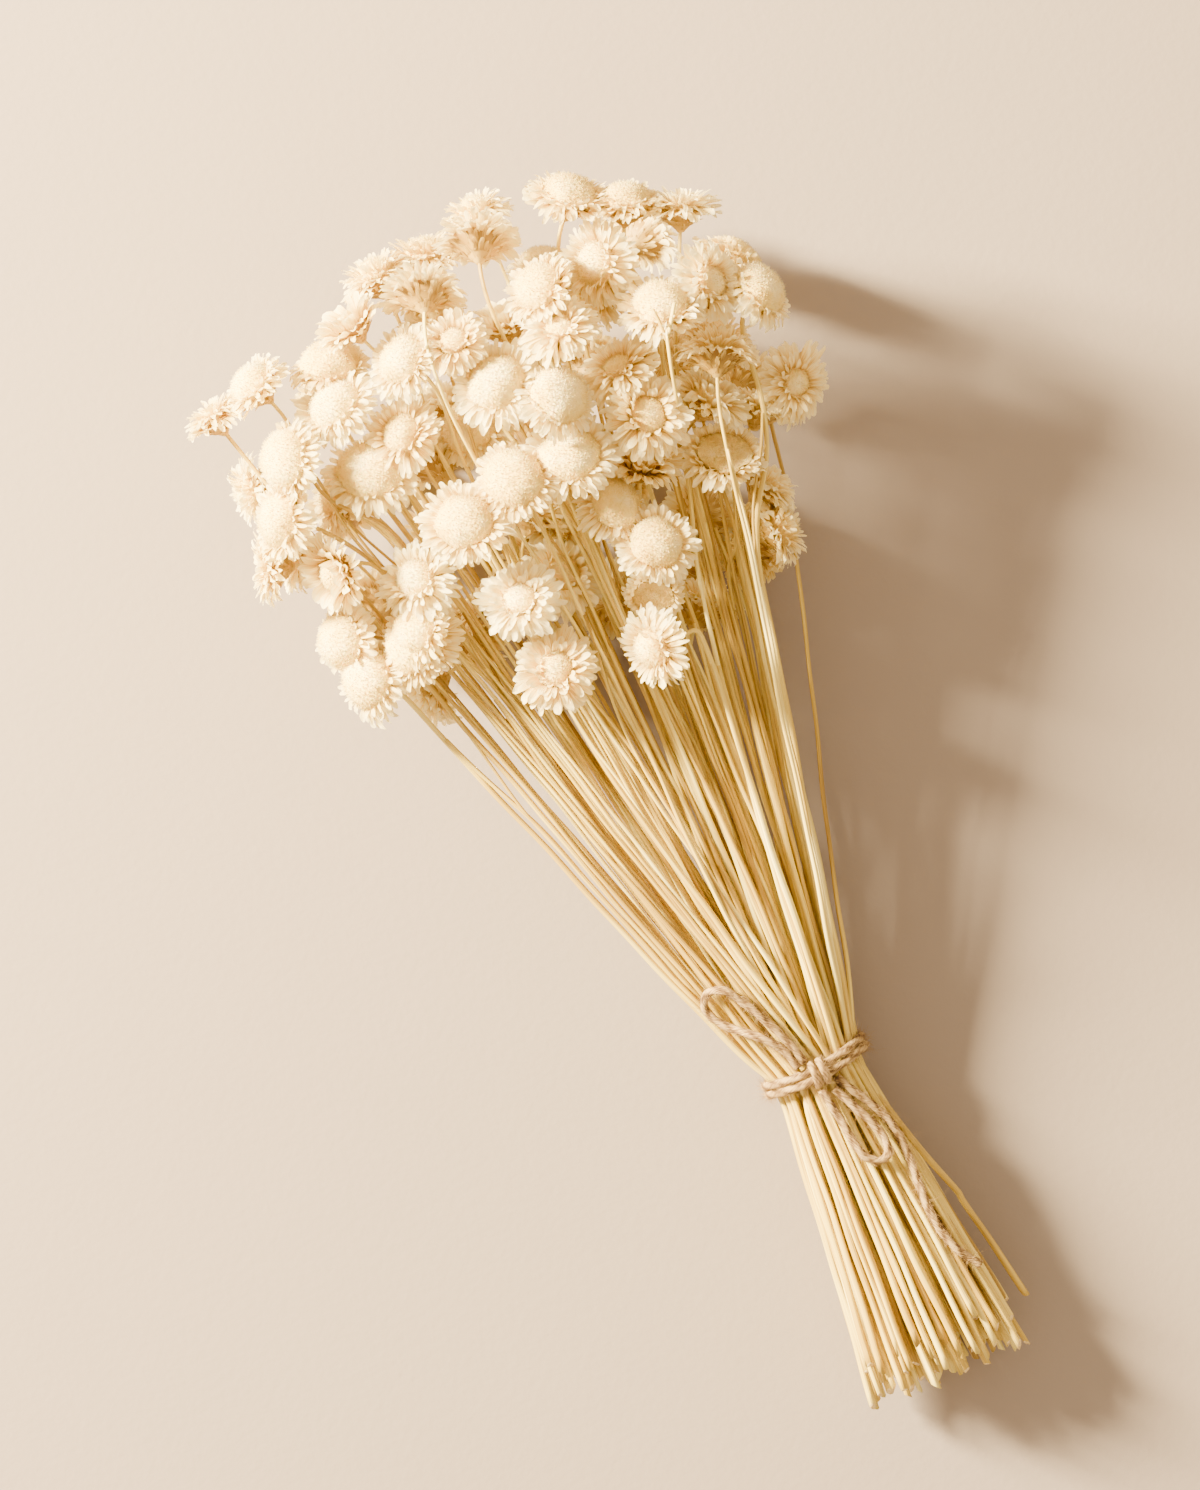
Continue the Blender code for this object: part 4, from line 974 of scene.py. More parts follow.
def strawMaterial():
    # straw: the dried skin of the stem, waxy and pale yellow, with fine ribs along it
    material, tree, shader, out = startMaterial("dried straw")
    tint = addNode(tree, "ShaderNodeAttribute", {"attribute_name": "tint"})
    around = addNode(tree, "ShaderNodeAttribute", {"attribute_name": "across"})
    along = addNode(tree, "ShaderNodeAttribute", {"attribute_name": "along"})
    place = addNode(tree, "ShaderNodeCombineXYZ", links={
        "X": around.outputs["Fac"], "Y": along.outputs["Fac"], "Z": tint.outputs["Fac"]})
    turned = addNode(tree, "ShaderNodeMapping", links={"Vector": place.outputs["Vector"]})
    turned.inputs["Scale"].default_value = (1.0, 0.012, 30.0)  # streaks some 35 mm long
    streak = addNode(tree, "ShaderNodeTexNoise", links={"Vector": turned.outputs["Vector"]}, Scale=2.4, Detail=3.0)
    blotch = addNode(tree, "ShaderNodeMapping", links={"Vector": place.outputs["Vector"]})
    blotch.inputs["Scale"].default_value = (0.1, 0.012, 11.0)
    patch = addNode(tree, "ShaderNodeTexNoise", links={"Vector": blotch.outputs["Vector"]}, Scale=1.6, Detail=1.0)
    first = addNode(tree, "ShaderNodeMath", {"operation": "MULTIPLY_ADD"}, {"Value": streak.outputs["Fac"]})
    first.inputs[1].default_value = 0.6
    tree.links.new(patch.outputs["Fac"], first.inputs[2])
    second = addNode(tree, "ShaderNodeMath", {"operation": "MULTIPLY_ADD"}, {"Value": tint.outputs["Fac"]})
    second.inputs[1].default_value = 0.35
    tree.links.new(first.outputs["Value"], second.inputs[2])
    scaled = addNode(tree, "ShaderNodeMath", {"operation": "MULTIPLY"}, {"Value": second.outputs["Value"]})
    scaled.inputs[1].default_value = 0.7
    tone = rampNode(tree, scaled.outputs["Value"], (
        (0.44, "#F6EA9C"), (0.60, "#E8D472"), (0.75, "#CCAE4A"), (0.90, "#9A7A2E")))
    tree.links.new(tone.outputs["Color"], shader.inputs["Base Color"])
    shader.inputs["Roughness"].default_value = 0.42
    bump = addNode(tree, "ShaderNodeBump", links={"Height": streak.outputs["Fac"]}, Strength=0.6, Distance=0.0003)
    tree.links.new(bump.outputs["Normal"], shader.inputs["Normal"])
    return material


def pithMaterial():
    # the cut end: paler, dry and open-grained
    material, tree, shader, out = startMaterial("straw pith")
    where = addNode(tree, "ShaderNodeTexCoord")
    grain = addNode(tree, "ShaderNodeTexNoise", links={"Vector": where.outputs["Object"]}, Scale=2500.0, Detail=2.0)
    tone = rampNode(tree, grain.outputs["Fac"], ((0.35, "#D6B66C"), (0.6, "#F3E2B0")))
    tree.links.new(tone.outputs["Color"], shader.inputs["Base Color"])
    shader.inputs["Roughness"].default_value = 0.9
    return material


def faired(points, step, reach):
    # the line at even steps, with every bend shorter than the reach smoothed out
    fine = evenly(points, step)
    width = min(int(round(3.0 * reach / step)), len(fine) - 2)
    weights = np.exp(-0.5 * (np.arange(-width, width + 1) * step / reach) ** 2)
    before = 2.0 * fine[0] - fine[1:width + 1][::-1]
    after = 2.0 * fine[-1] - fine[-width - 1:-1][::-1]
    padded = np.r_[before, fine, after]
    return np.stack([np.convolve(padded[:, k], weights / weights.sum(), "valid") for k in range(3)], 1)


def thinLines(lines):
    # thin stems run between two neighbours and join one of them below its flower
    middles = np.array([line[np.abs(line[:, 1] - 60.0).argmin()] for line in lines])
    gaps = np.linalg.norm((middles[:, None] - middles[None])[..., [0, 2]], axis=-1)
    pairs = [(gaps[i, j] - 0.35 * (middles[i, 2] + middles[j, 2]), i, j)
             for i in range(len(lines)) for j in range(len(lines)) if i != j and gaps[i, j] < 6.0]
    used, found = np.zeros(len(lines), int), []
    for _, i, j in sorted(pairs):
        if len(found) == straw["thinCount"]:
            break
        if used[i] > 1 or used[j] > 1:
            continue
        used[[i, j]] += 1
        rng = np.random.default_rng(7000 + 100 * i + j)
        top = min(lines[i][:, 1].max(), lines[j][:, 1].max()) - rng.uniform(6.0, 20.0)
        ys = np.arange(-rng.uniform(71.0, 84.0), top, 4.0)
        both = []
        for line in (lines[i], lines[j]):
            rising = np.maximum.accumulate(line[:, 1]) + 1e-6 * np.arange(len(line))
            both.append(np.stack([np.interp(ys, rising, line[:, 0]), ys, np.interp(ys, rising, line[:, 2])], 1))
        part = np.clip((ys - top + 35.0) / 35.0, 0.0, 1.0)[:, None]
        part = 0.5 + 0.5 * part * part * (3.0 - 2.0 * part)
        found.append(both[0] * part + both[1] * (1.0 - part) + (0.0, 0.0, 0.35))
    return found


def makeStems(heads, stems):
    skin, pith = strawMaterial(), pithMaterial()
    lines = []
    for number in range(len(heads.centres)):
        line = np.array(stemLine(heads, stems, number))
        base = heads.stemEnds()[number]
        if np.linalg.norm(line[-1] - base) < 0.5:
            line = np.r_[line, [base + heads.axes[number] * 1.5]]
        lines.append(faired(smoothCurve(line, 1.5), straw["step"], straw["fairing"]))
    jobs = [(line, 1.0, straw["sides"]) for line in lines]
    jobs += [(faired(line, 4.0, 5.0), straw["thinSize"], 5) for line in thinLines(lines)]
    loose = np.array([(*seen(x, y), z) for x, y, z in straw["loose"]])[::-1]
    jobs.append((evenly(smoothCurve(loose, 1.5), 2.0), 1.0, straw["sides"]))
    over = heads.centres[straw["forkHead"], 2]
    for branch in straw["fork"]:
        spots = np.array([(*seen(x, y), over + z) for x, y, z in branch])
        jobs.append((evenly(smoothCurve(spots, 1.0), 1.5), 0.95, straw["sides"]))
    verts, faces, slots, tints, alongs, arounds = [], [], [], [], [], []
    for number, (fine, size, sides) in enumerate(jobs):
        rng = np.random.default_rng(300 + number)
        length = np.r_[0.0, np.cumsum(np.linalg.norm(np.diff(fine, axis=0), axis=1))]
        phase = rng.uniform(0.0, 2.0 * math.pi, 4)
        calm = np.clip(np.abs(fine[:, 1]) / 30.0, 0.0, 1.0) * np.clip((length[-1] - length) / 12.0, 0.0, 1.0)
        sway = straw["wave"] * calm * (np.sin(2.0 * math.pi * length / straw["waveLength"] + phase[0])
                                       + 0.5 * np.sin(4.7 * math.pi * length / straw["waveLength"] + phase[1]))
        fine[:, 0] += sway
        fine[:, 2] += 0.5 * sway
        fine[:, 2] = np.maximum(fine[:, 2], 0.8)
        radii = np.interp(fine[:, 1], straw["radiusAt"], straw["radii"]) * rng.uniform(0.84, 1.12) * size
        radii *= 1.0 + 0.04 * np.sin(length / 7.0 + phase[2])
        ribs = rng.uniform(0.92, 1.06, sides)

        def shape(turn, ring):
            return ribs[None] * (1.0 + straw["flatness"] * np.cos(2.0 * turn + phase[3] + ring * 0.03))

        ring, tube = tubeMesh(fine, radii, sides, False, shape)
        slant = rng.uniform(-1.0, 1.0, 2) * straw["shear"]  # the knife cut each end a little askew
        first = ring[:sides] - ring[:sides].mean(0)
        ring[:sides, 1] += first[:, 0] * slant[0] + first[:, 2] * slant[1]
        start = len(verts)
        verts += list(shifted(ring))
        faces += [tuple(start + i for i in face) for face in tube]
        slots += [0] * (len(tube) - 2) + [1, 0]
        tints += [rng.uniform(0.0, 1.0)] * len(ring)
        alongs += list(np.repeat(length, sides))
        arounds += list(np.tile(np.abs(np.arange(sides) - sides / 2.0), len(fine)))
    verts = np.array(verts)
    verts[:, 2] = np.maximum(verts[:, 2], 0.0)
    obj = meshObject("stemBundle", verts, faces, slots, [skin, pith])
    for name, values in (("tint", tints), ("along", alongs), ("across", arounds)):
        giveAttribute(obj.data, name, values)
    seat(obj, "stems")
    print(f"stems: {len(jobs)} stems, {len(obj.data.polygons)} faces")


# Daisies: a felted disc, rows of papery petals round it, and bracts behind. Each kind has the
# disc's radius, top and foot, how golden it is, its hairs' length and rows of petals: how many,
# radius and height of their roots, lift and its spread in degrees, length and width
daisy = {
    "kinds": {
        "p": {"disc": (7.3, 6.4, 1.0), "golden": 0.0, "hair": 0.75, "petals": (
            (34, 5.8, 0.5, 4, 18, 4.7, 1.35), (34, 5.4, -0.6, -10, 14, 5.1, 1.4), (24, 6.8, 1.3, 38, 22, 2.5, 1.1))},
        "f": {"disc": (6.3, 5.7, 0.9), "golden": 0.0, "hair": 0.75, "petals": (
            (34, 5.4, 0.6, 16, 18, 5.2, 1.4), (32, 5.0, -0.4, 0, 15, 5.6, 1.5), (28, 6.0, 1.4, 44, 22, 3.3, 1.2))},
        "o": {"disc": (3.5, 2.9, 0.8), "golden": 0.08, "hair": 0.7, "petals": (
            (28, 3.2, 0.6, 14, 15, 6.7, 1.5), (28, 3.0, -0.3, 0, 13, 7.2, 1.6), (26, 3.4, 1.0, 36, 19, 5.0, 1.3),
            (24, 3.2, 1.6, 60, 20, 3.6, 1.1))},
        "s": {"disc": (4.7, 5.0, 0.8), "golden": 0.05, "hair": 0.95, "petals": (
            (32, 4.6, 0.6, 10, 18, 5.7, 1.3), (32, 4.2, -0.2, -8, 15, 6.1, 1.4), (28, 4.8, 1.6, 38, 20, 4.5, 1.2),
            (24, 4.4, 2.8, 60, 20, 3.4, 1.0))},
        "d": {"disc": (6.8, 6.2, 1.0), "golden": 0.0, "hair": 0.75, "petals": (
            (30, 5.8, 0.6, -20, 20, 4.9, 1.6), (28, 5.4, -0.3, -34, 15, 4.7, 1.7), (22, 6.4, 1.3, 20, 24, 3.0, 1.3))},
        "r": {"disc": (3.9, 3.4, 0.7), "golden": 0.12, "hair": 0.8, "petals": (
            (26, 4.4, 0.5, 22, 26, 5.5, 1.8), (28, 4.0, -0.3, 4, 18, 6.3, 1.8), (24, 4.4, 1.3, 46, 24, 4.2, 1.6),
            (22, 3.9, 2.1, 64, 24, 3.0, 1.3))},
        "c": {"disc": (6.2, 1.1, 1.9), "golden": 0.5, "hair": 0.6, "petals": (
            (30, 6.5, 1.0, 62, 18, 2.9, 1.6), (28, 6.1, 0.2, 36, 15, 3.8, 1.8), (26, 5.6, -0.6, 12, 12, 4.6, 1.7))},
        "b": {"disc": (3.4, 2.6, 0.8), "golden": 0.3, "hair": 0.5, "petals": (
            (12, 4.2, 0.3, 68, 12, 5.4, 3.1), (14, 4.8, -0.3, 50, 12, 5.6, 2.9), (20, 4.6, -1.0, 26, 12, 5.8, 2.2))},
    },
    "backRow": (26, 4.4, -1.8, 14, 9, 5.6, 1.5),
    "backProfile": ((6.0, -0.3), (5.6, -1.2), (4.2, -2.6), (2.6, -4.0), (1.5, -5.0), (0.8, -5.9), (0.0, -6.0)),
    "bracts": ((20, 4.0, -2.9, 36, 9, 4.2, 1.3), (18, 2.6, -4.2, 40, 9, 3.4, 1.3), (12, 1.4, -5.2, 48, 11, 2.6, 1.1)),
    "seenKinds": "ofpsfossoffossrdofssorrofpoorfpfsppfsfoddpfsfpfppfsrrsrsorooof",
    "cupKinds": "bbcbcrbr",
    "restKinds": "pfsord",
    "segments": 24,
    "hairDensity": 3.9e6,
    "petalOutline": ((0.0, 0.42), (0.35, 0.85), (0.7, 1.0), (0.92, 0.74), (1.0, 0.25)),
    "warp": 0.75,
    "ruffle": 0.55,
    "spread": 1.06,
}


def bladeMesh(name, width, length, outline, cup, arch, droop):
    # one blade along +Y with its root at the origin, hollowed lengthwise and bent over at the tip
    verts, faces, alongs, acrosses = [], [], [], []
    for t, share in outline:
        for s in (-1.0, 0.0, 1.0):
            rise = cup * abs(s) * 0.5 * width * share + length * (arch * math.sin(math.pi * t) - droop * t * t)
            verts.append((0.5 * width * share * s * mm, length * t * mm, rise * mm))
            alongs.append(t)
            acrosses.append(s)
    for j in range(len(outline) - 1):
        for i in (0, 1):
            a = 3 * j + i
            faces.append((a, a + 1, a + 4, a + 3))
    obj = meshObject(name, verts, faces)
    giveAttribute(obj.data, "along", alongs)
    giveAttribute(obj.data, "across", acrosses)
    return obj


def spikeMesh(name, length, radius):
    turns = 2.0 * math.pi * np.arange(3) / 3
    verts = [(radius * math.cos(t) * mm, radius * math.sin(t) * mm, -0.1 * length * mm) for t in turns]
    obj = meshObject(name, verts + [(0.0, 0.0, length * mm)], [(0, 1, 3), (1, 2, 3), (2, 0, 3)])
    # roots at 0.2 and the tip at 1.0, so the felt paints shade at the hairs' roots
    giveAttribute(obj.data, "along", (0.2, 0.2, 0.2, 1.0))
    return obj


def ringTree():
    # blades set round a ring, each with its own lift, length and roll
    tree = bpy.data.node_groups.new("ring of blades", "GeometryNodeTree")
    face = tree.interface
    face.new_socket("Geometry", in_out="INPUT", socket_type="NodeSocketGeometry")
    for name, kind in (("Count", "Int"), ("Radius", "Float"), ("Height", "Float"), ("Lift", "Float"),
                       ("Spread", "Float"), ("Shortest", "Float"), ("Longest", "Float"), ("Seed", "Int"),
                       ("Blade", "Object"), ("Material", "Material")):
        face.new_socket(name, in_out="INPUT", socket_type="NodeSocket" + kind)
    face.new_socket("Geometry", in_out="OUTPUT", socket_type="NodeSocketGeometry")
    given = addNode(tree, "NodeGroupInput").outputs
    ring = addNode(tree, "GeometryNodeMeshCircle", links={"Vertices": given["Count"], "Radius": given["Radius"]})
    raised = addNode(tree, "ShaderNodeCombineXYZ", links={"Z": given["Height"]})
    moved = addNode(tree, "GeometryNodeSetPosition", links={
        "Geometry": ring.outputs["Mesh"], "Offset": raised.outputs["Vector"]})
    number = addNode(tree, "GeometryNodeInputIndex")
    step = addNode(tree, "ShaderNodeMath", {"operation": "DIVIDE"})
    step.inputs[0].default_value = 2.0 * math.pi
    tree.links.new(given["Count"], step.inputs[1])
    angle = addNode(tree, "ShaderNodeMath", {"operation": "MULTIPLY_ADD"})
    tree.links.new(number.outputs["Index"], angle.inputs[0])
    tree.links.new(step.outputs["Value"], angle.inputs[1])
    angle.inputs[2].default_value = -0.5 * math.pi

    def scatter(low, high, extra):  # a random number for each blade
        node = addNode(tree, "FunctionNodeRandomValue", {"data_type": "FLOAT"})
        seed = addNode(tree, "ShaderNodeMath", {"operation": "ADD"})
        tree.links.new(given["Seed"], seed.inputs[0])
        seed.inputs[1].default_value = extra
        tree.links.new(seed.outputs["Value"], node.inputs["Seed"])
        for socket, value in ((node.inputs[2], low), (node.inputs[3], high)):
            if isinstance(value, float):
                socket.default_value = value
            else:
                tree.links.new(value, socket)
        return node.outputs[1]

    jitter = addNode(tree, "ShaderNodeMath", {"operation": "ADD"})
    tree.links.new(angle.outputs["Value"], jitter.inputs[0])
    tree.links.new(scatter(-0.1, 0.1, 1), jitter.inputs[1])
    aimed = addNode(tree, "ShaderNodeMath", {"operation": "MULTIPLY_ADD"})
    tree.links.new(scatter(-1.0, 1.0, 2), aimed.inputs[0])
    tree.links.new(given["Spread"], aimed.inputs[1])
    tree.links.new(given["Lift"], aimed.inputs[2])
    euler = addNode(tree, "ShaderNodeCombineXYZ", links={
        "X": aimed.outputs["Value"], "Y": scatter(-0.45, 0.45, 3), "Z": jitter.outputs["Value"]})
    rotation = addNode(tree, "FunctionNodeEulerToRotation", links={"Euler": euler.outputs["Vector"]})
    scale = addNode(tree, "ShaderNodeCombineXYZ", links={
        "X": scatter(0.8, 1.2, 4), "Y": scatter(given["Shortest"], given["Longest"], 5), "Z": scatter(0.4, 1.8, 6)})
    blade = addNode(tree, "GeometryNodeObjectInfo", links={"Object": given["Blade"]})
    copies = addNode(tree, "GeometryNodeInstanceOnPoints", links={
        "Points": moved.outputs["Geometry"], "Instance": blade.outputs["Geometry"],
        "Rotation": rotation.outputs["Rotation"], "Scale": scale.outputs["Vector"]})
    named = addNode(tree, "GeometryNodeStoreNamedAttribute", {"data_type": "FLOAT", "domain": "INSTANCE"}, {
        "Geometry": copies.outputs["Instances"], "Value": scatter(0.0, 1.0, 7)})
    named.inputs["Name"].default_value = "tint"
    real = addNode(tree, "GeometryNodeRealizeInstances", links={"Geometry": named.outputs["Geometry"]})
    finish = addNode(tree, "GeometryNodeSetMaterial", links={
        "Geometry": real.outputs["Geometry"], "Material": given["Material"]})
    addNode(tree, "NodeGroupOutput", links={"Geometry": finish.outputs["Geometry"]})
    return tree


def lathe(name, profile, material, bumps, seed):
    # rings round the axis from the outside in; bumps ripple them a little
    rng = np.random.default_rng(seed)
    segments = daisy["segments"]
    turns = 2.0 * math.pi * np.arange(segments) / segments
    verts, faces, alongs = [], [], []
    for k, (radius, height) in enumerate(profile[:-1]):
        wave = 1.0 + bumps * rng.uniform(-1.0, 1.0, segments) * min(1.0, radius / 3.0)
        verts += [(radius * w * math.cos(t) * mm, radius * w * math.sin(t) * mm, height * mm)
                  for t, w in zip(turns, wave)]
        # along runs from the rim in to the middle; on the disc the felt paints shade towards its foot
        alongs += [k / (len(profile) - 1)] * segments
    for k in range(len(profile) - 2):
        a, b = k * segments, (k + 1) * segments
        faces += [(a + i, a + (i + 1) % segments, b + (i + 1) % segments, b + i) for i in range(segments)]
    top = len(verts)
    verts.append((0.0, 0.0, profile[-1][1] * mm))
    alongs.append(1.0)
    last = (len(profile) - 2) * segments
    faces += [(last + i, last + (i + 1) % segments, top) for i in range(segments)]
    obj = meshObject(name, verts, faces, materials=[material])
    giveAttribute(obj.data, "along", alongs)
    return obj


def discProfile(radius, top, foot, steps=8):
    found = [(radius * 0.85, foot - 1.2)]
    for k in range(steps):
        turn = 0.5 * math.pi * k / steps
        found.append((radius * math.cos(turn) ** 0.9, foot + (top - foot) * math.sin(turn)))
    return found + [(0.0, top)]


def feltMaterial():
    # the daisy's middle, dried: hundreds of tiny florets packed like felt, so matt and soft-lit, with painted shade
    # darker towards its foot and the roots of its hairs
    material, tree, shader, out = startMaterial("matted florets")
    where = addNode(tree, "ShaderNodeTexCoord")
    along = addNode(tree, "ShaderNodeAttribute", {"attribute_name": "along"})
    golden = addNode(tree, "ShaderNodeAttribute", {"attribute_name": "tint"})
    age = addNode(tree, "ShaderNodeAttribute", {"attribute_name": "age"})
    patch = addNode(tree, "ShaderNodeTexNoise", links={"Vector": where.outputs["Object"]}, Scale=190.0, Detail=3.0)
    grain = addNode(tree, "ShaderNodeTexVoronoi", links={"Vector": where.outputs["Object"]}, Scale=1300.0)
    # painted shade: darker towards the disc's foot and the hairs' roots, lighter at the top, from along
    total = addNode(tree, "ShaderNodeMath", {"operation": "MULTIPLY_ADD"}, {"Value": along.outputs["Fac"]})
    total.inputs[1].default_value = 0.35
    tree.links.new(patch.outputs["Fac"], total.inputs[2])
    older = addNode(tree, "ShaderNodeMath", {"operation": "MULTIPLY_ADD"}, {"Value": age.outputs["Fac"]})
    older.inputs[1].default_value = -0.22
    tree.links.new(total.outputs["Value"], older.inputs[2])
    cream = rampNode(tree, older.outputs["Value"], (
        (0.18, "#CCA648"), (0.38, "#E6C668"), (0.58, "#F8DC80"), (0.85, "#FFECAC")))
    gold = rampNode(tree, total.outputs["Value"], (
        (0.35, "#A27A2A"), (0.55, "#D0A648"), (0.78, "#EAC974"), (0.95, "#F8E09C")))
    tone = addNode(tree, "ShaderNodeMix", {"data_type": "RGBA"}, {"Factor": golden.outputs["Fac"]})
    tree.links.new(cream.outputs["Color"], tone.inputs["A"])
    tree.links.new(gold.outputs["Color"], tone.inputs["B"])
    tree.links.new(tone.outputs["Result"], shader.inputs["Base Color"])
    shader.inputs["Roughness"].default_value = 0.95
    shader.inputs["Subsurface Weight"].default_value = 0.3
    shader.inputs["Subsurface Radius"].default_value = (1.0, 0.55, 0.25)
    shader.inputs["Subsurface Scale"].default_value = 0.0012
    bump = addNode(tree, "ShaderNodeBump", {"invert": True}, {"Height": grain.outputs["Distance"]},
                   Strength=0.55, Distance=0.0004)
    tree.links.new(bump.outputs["Normal"], shader.inputs["Normal"])
    return material


def paperMaterial(name, weight, stops, through):
    # petals and bracts dry to paper: thin enough that light comes through, with fine veins along them
    material, tree, shader, out = startMaterial(name)
    across = addNode(tree, "ShaderNodeAttribute", {"attribute_name": "across"})
    along = addNode(tree, "ShaderNodeAttribute", {"attribute_name": "along"})
    tint = addNode(tree, "ShaderNodeAttribute", {"attribute_name": "tint"})
    age = addNode(tree, "ShaderNodeAttribute", {"attribute_name": "age"})
    place = addNode(tree, "ShaderNodeCombineXYZ", links={
        "X": across.outputs["Fac"], "Y": along.outputs["Fac"], "Z": tint.outputs["Fac"]})
    turned = addNode(tree, "ShaderNodeMapping", links={"Vector": place.outputs["Vector"]})
    turned.inputs["Scale"].default_value = (3.2, 0.5, 9.0)  # veins 0.3 mm apart
    vein = addNode(tree, "ShaderNodeTexNoise", links={"Vector": turned.outputs["Vector"]}, Scale=1.6, Detail=2.0)
    total = addNode(tree, "ShaderNodeMath", {"operation": "MULTIPLY_ADD"}, {"Value": along.outputs["Fac"]})
    total.inputs[1].default_value = weight
    tree.links.new(vein.outputs["Fac"], total.inputs[2])
    older = addNode(tree, "ShaderNodeMath", {"operation": "MULTIPLY_ADD"}, {"Value": age.outputs["Fac"]})
    older.inputs[1].default_value = -0.18
    tree.links.new(total.outputs["Value"], older.inputs[2])
    tone = rampNode(tree, older.outputs["Value"], stops)
    tree.links.new(tone.outputs["Color"], shader.inputs["Base Color"])
    shader.inputs["Roughness"].default_value = 0.5
    bump = addNode(tree, "ShaderNodeBump", links={"Height": vein.outputs["Fac"]}, Strength=0.6, Distance=0.0002)
    tree.links.new(bump.outputs["Normal"], shader.inputs["Normal"])
    thin = addNode(tree, "ShaderNodeBsdfTranslucent", links={"Color": tone.outputs["Color"]})
    mix = addNode(tree, "ShaderNodeMixShader", Fac=through)
    tree.links.new(shader.outputs["BSDF"], mix.inputs[1])
    tree.links.new(thin.outputs["BSDF"], mix.inputs[2])
    tree.links.new(mix.outputs["Shader"], out.inputs["Surface"])
    return material


def arraysOf(mesh, slot, golden=None):
    count, corners, sides = len(mesh.vertices), len(mesh.loops), len(mesh.polygons)
    points = np.zeros(count * 3, np.float32)
    mesh.vertices.foreach_get("co", points)
    loops = np.zeros(corners, np.int32)
    mesh.loops.foreach_get("vertex_index", loops)
    totals = np.zeros(sides, np.int32)
    mesh.polygons.foreach_get("loop_total", totals)
    tint = takeAttribute(mesh, "tint") if golden is None else np.full(count, golden, np.float32)
    return {
        "points": points.reshape(-1, 3) / mm, "loops": loops, "totals": totals,
        "slots": np.full(sides, slot, np.int32), "along": takeAttribute(mesh, "along"),
        "across": takeAttribute(mesh, "across"), "tint": tint,
    }


def joinArrays(parts):
    joined = {key: np.concatenate([part[key] for part in parts]) for key in parts[0] if key != "loops"}
    starts = np.cumsum([0] + [len(part["points"]) for part in parts[:-1]])
    joined["loops"] = np.concatenate([part["loops"] + start for part, start in zip(parts, starts)])
    return joined


def meshFromArrays(name, parts, materials):
    whole = joinArrays(parts)
    mesh = bpy.data.meshes.new(name)
    mesh.vertices.add(len(whole["points"]))
    mesh.vertices.foreach_set("co", (whole["points"] * mm).astype(np.float32).ravel())
    mesh.loops.add(len(whole["loops"]))
    mesh.loops.foreach_set("vertex_index", whole["loops"].astype(np.int32))
    mesh.polygons.add(len(whole["totals"]))
    mesh.polygons.foreach_set("loop_start", np.r_[0, np.cumsum(whole["totals"])[:-1]].astype(np.int32))
    for material in materials:
        mesh.materials.append(material)
    mesh.polygons.foreach_set("material_index", whole["slots"].astype(np.int32))
    mesh.polygons.foreach_set("use_smooth", np.ones(len(whole["totals"]), bool))
    mesh.update(calc_edges=True)
    for key in ("along", "across", "tint", "age"):
        giveAttribute(mesh, key, whole[key])
    obj = bpy.data.objects.new(name, mesh)
    bpy.context.scene.collection.objects.link(obj)
    return obj


def makeKinds(felt, petal, bract):
    ring, fuzz = ringTree(), hairTree()
    holder = meshObject("holder", [(0, 0, 0), (mm, 0, 0), (0, mm, 0)], [(0, 1, 2)])
    kinds = {}
    for number, (letter, kind) in enumerate(daisy["kinds"].items()):
        seed = 40 + 17 * number
        golden = kind["golden"]
        disc = lathe("disc", discProfile(*kind["disc"]), felt, 0.03, seed)
        back = lathe("back", daisy["backProfile"], bract, 0.04, seed)
        back.data.flip_normals()
        hair = spikeMesh("hair", kind["hair"], 0.11 if golden < 0.2 else 0.18)
        long = spikeMesh("longHair", 1.8 * kind["hair"], 0.08)
        short = growFrom(disc, fuzz, Density=daisy["hairDensity"], Seed=seed, Lean=0.45, Hair=hair,
                         Shortest=0.6, Longest=1.2, Material=felt)
        tall = growFrom(disc, fuzz, Density=daisy["hairDensity"] * 0.16, Seed=seed + 3, Lean=0.65, Hair=long,
                        Shortest=0.5, Longest=1.1, Material=felt)
        parts = [arraysOf(disc.data, 0, golden), arraysOf(back.data, 2), arraysOf(short, 0, golden),
                 arraysOf(tall, 0, golden)]
        rows = [(row, 1, petal) for row in kind["petals"] + (daisy["backRow"],)]
        rows += [(row, 2, bract) for row in daisy["bracts"]]
        for place, ((count, radius, height, lift, spread, length, width), slot, material) in enumerate(rows):
            outline = daisy["petalOutline"] if slot == 1 else ((0.0, 0.8), (0.5, 1.0), (0.85, 0.6), (1.0, 0.15))
            blade = bladeMesh("blade", width, length, outline, 0.35, 0.06, 0.10)
            made = growFrom(holder, ring, Count=count, Radius=radius * mm, Height=height * mm,
                            Lift=math.radians(lift), Spread=math.radians(spread), Shortest=0.76, Longest=1.08,
                            Seed=seed + 31 * place, Blade=blade, Material=material)
            parts.append(arraysOf(made, slot))
            bpy.data.objects.remove(blade)
        kinds[letter] = joinArrays(parts)
        for obj in (disc, back, hair, long):
            bpy.data.objects.remove(obj)
    bpy.data.objects.remove(holder)
    return kinds


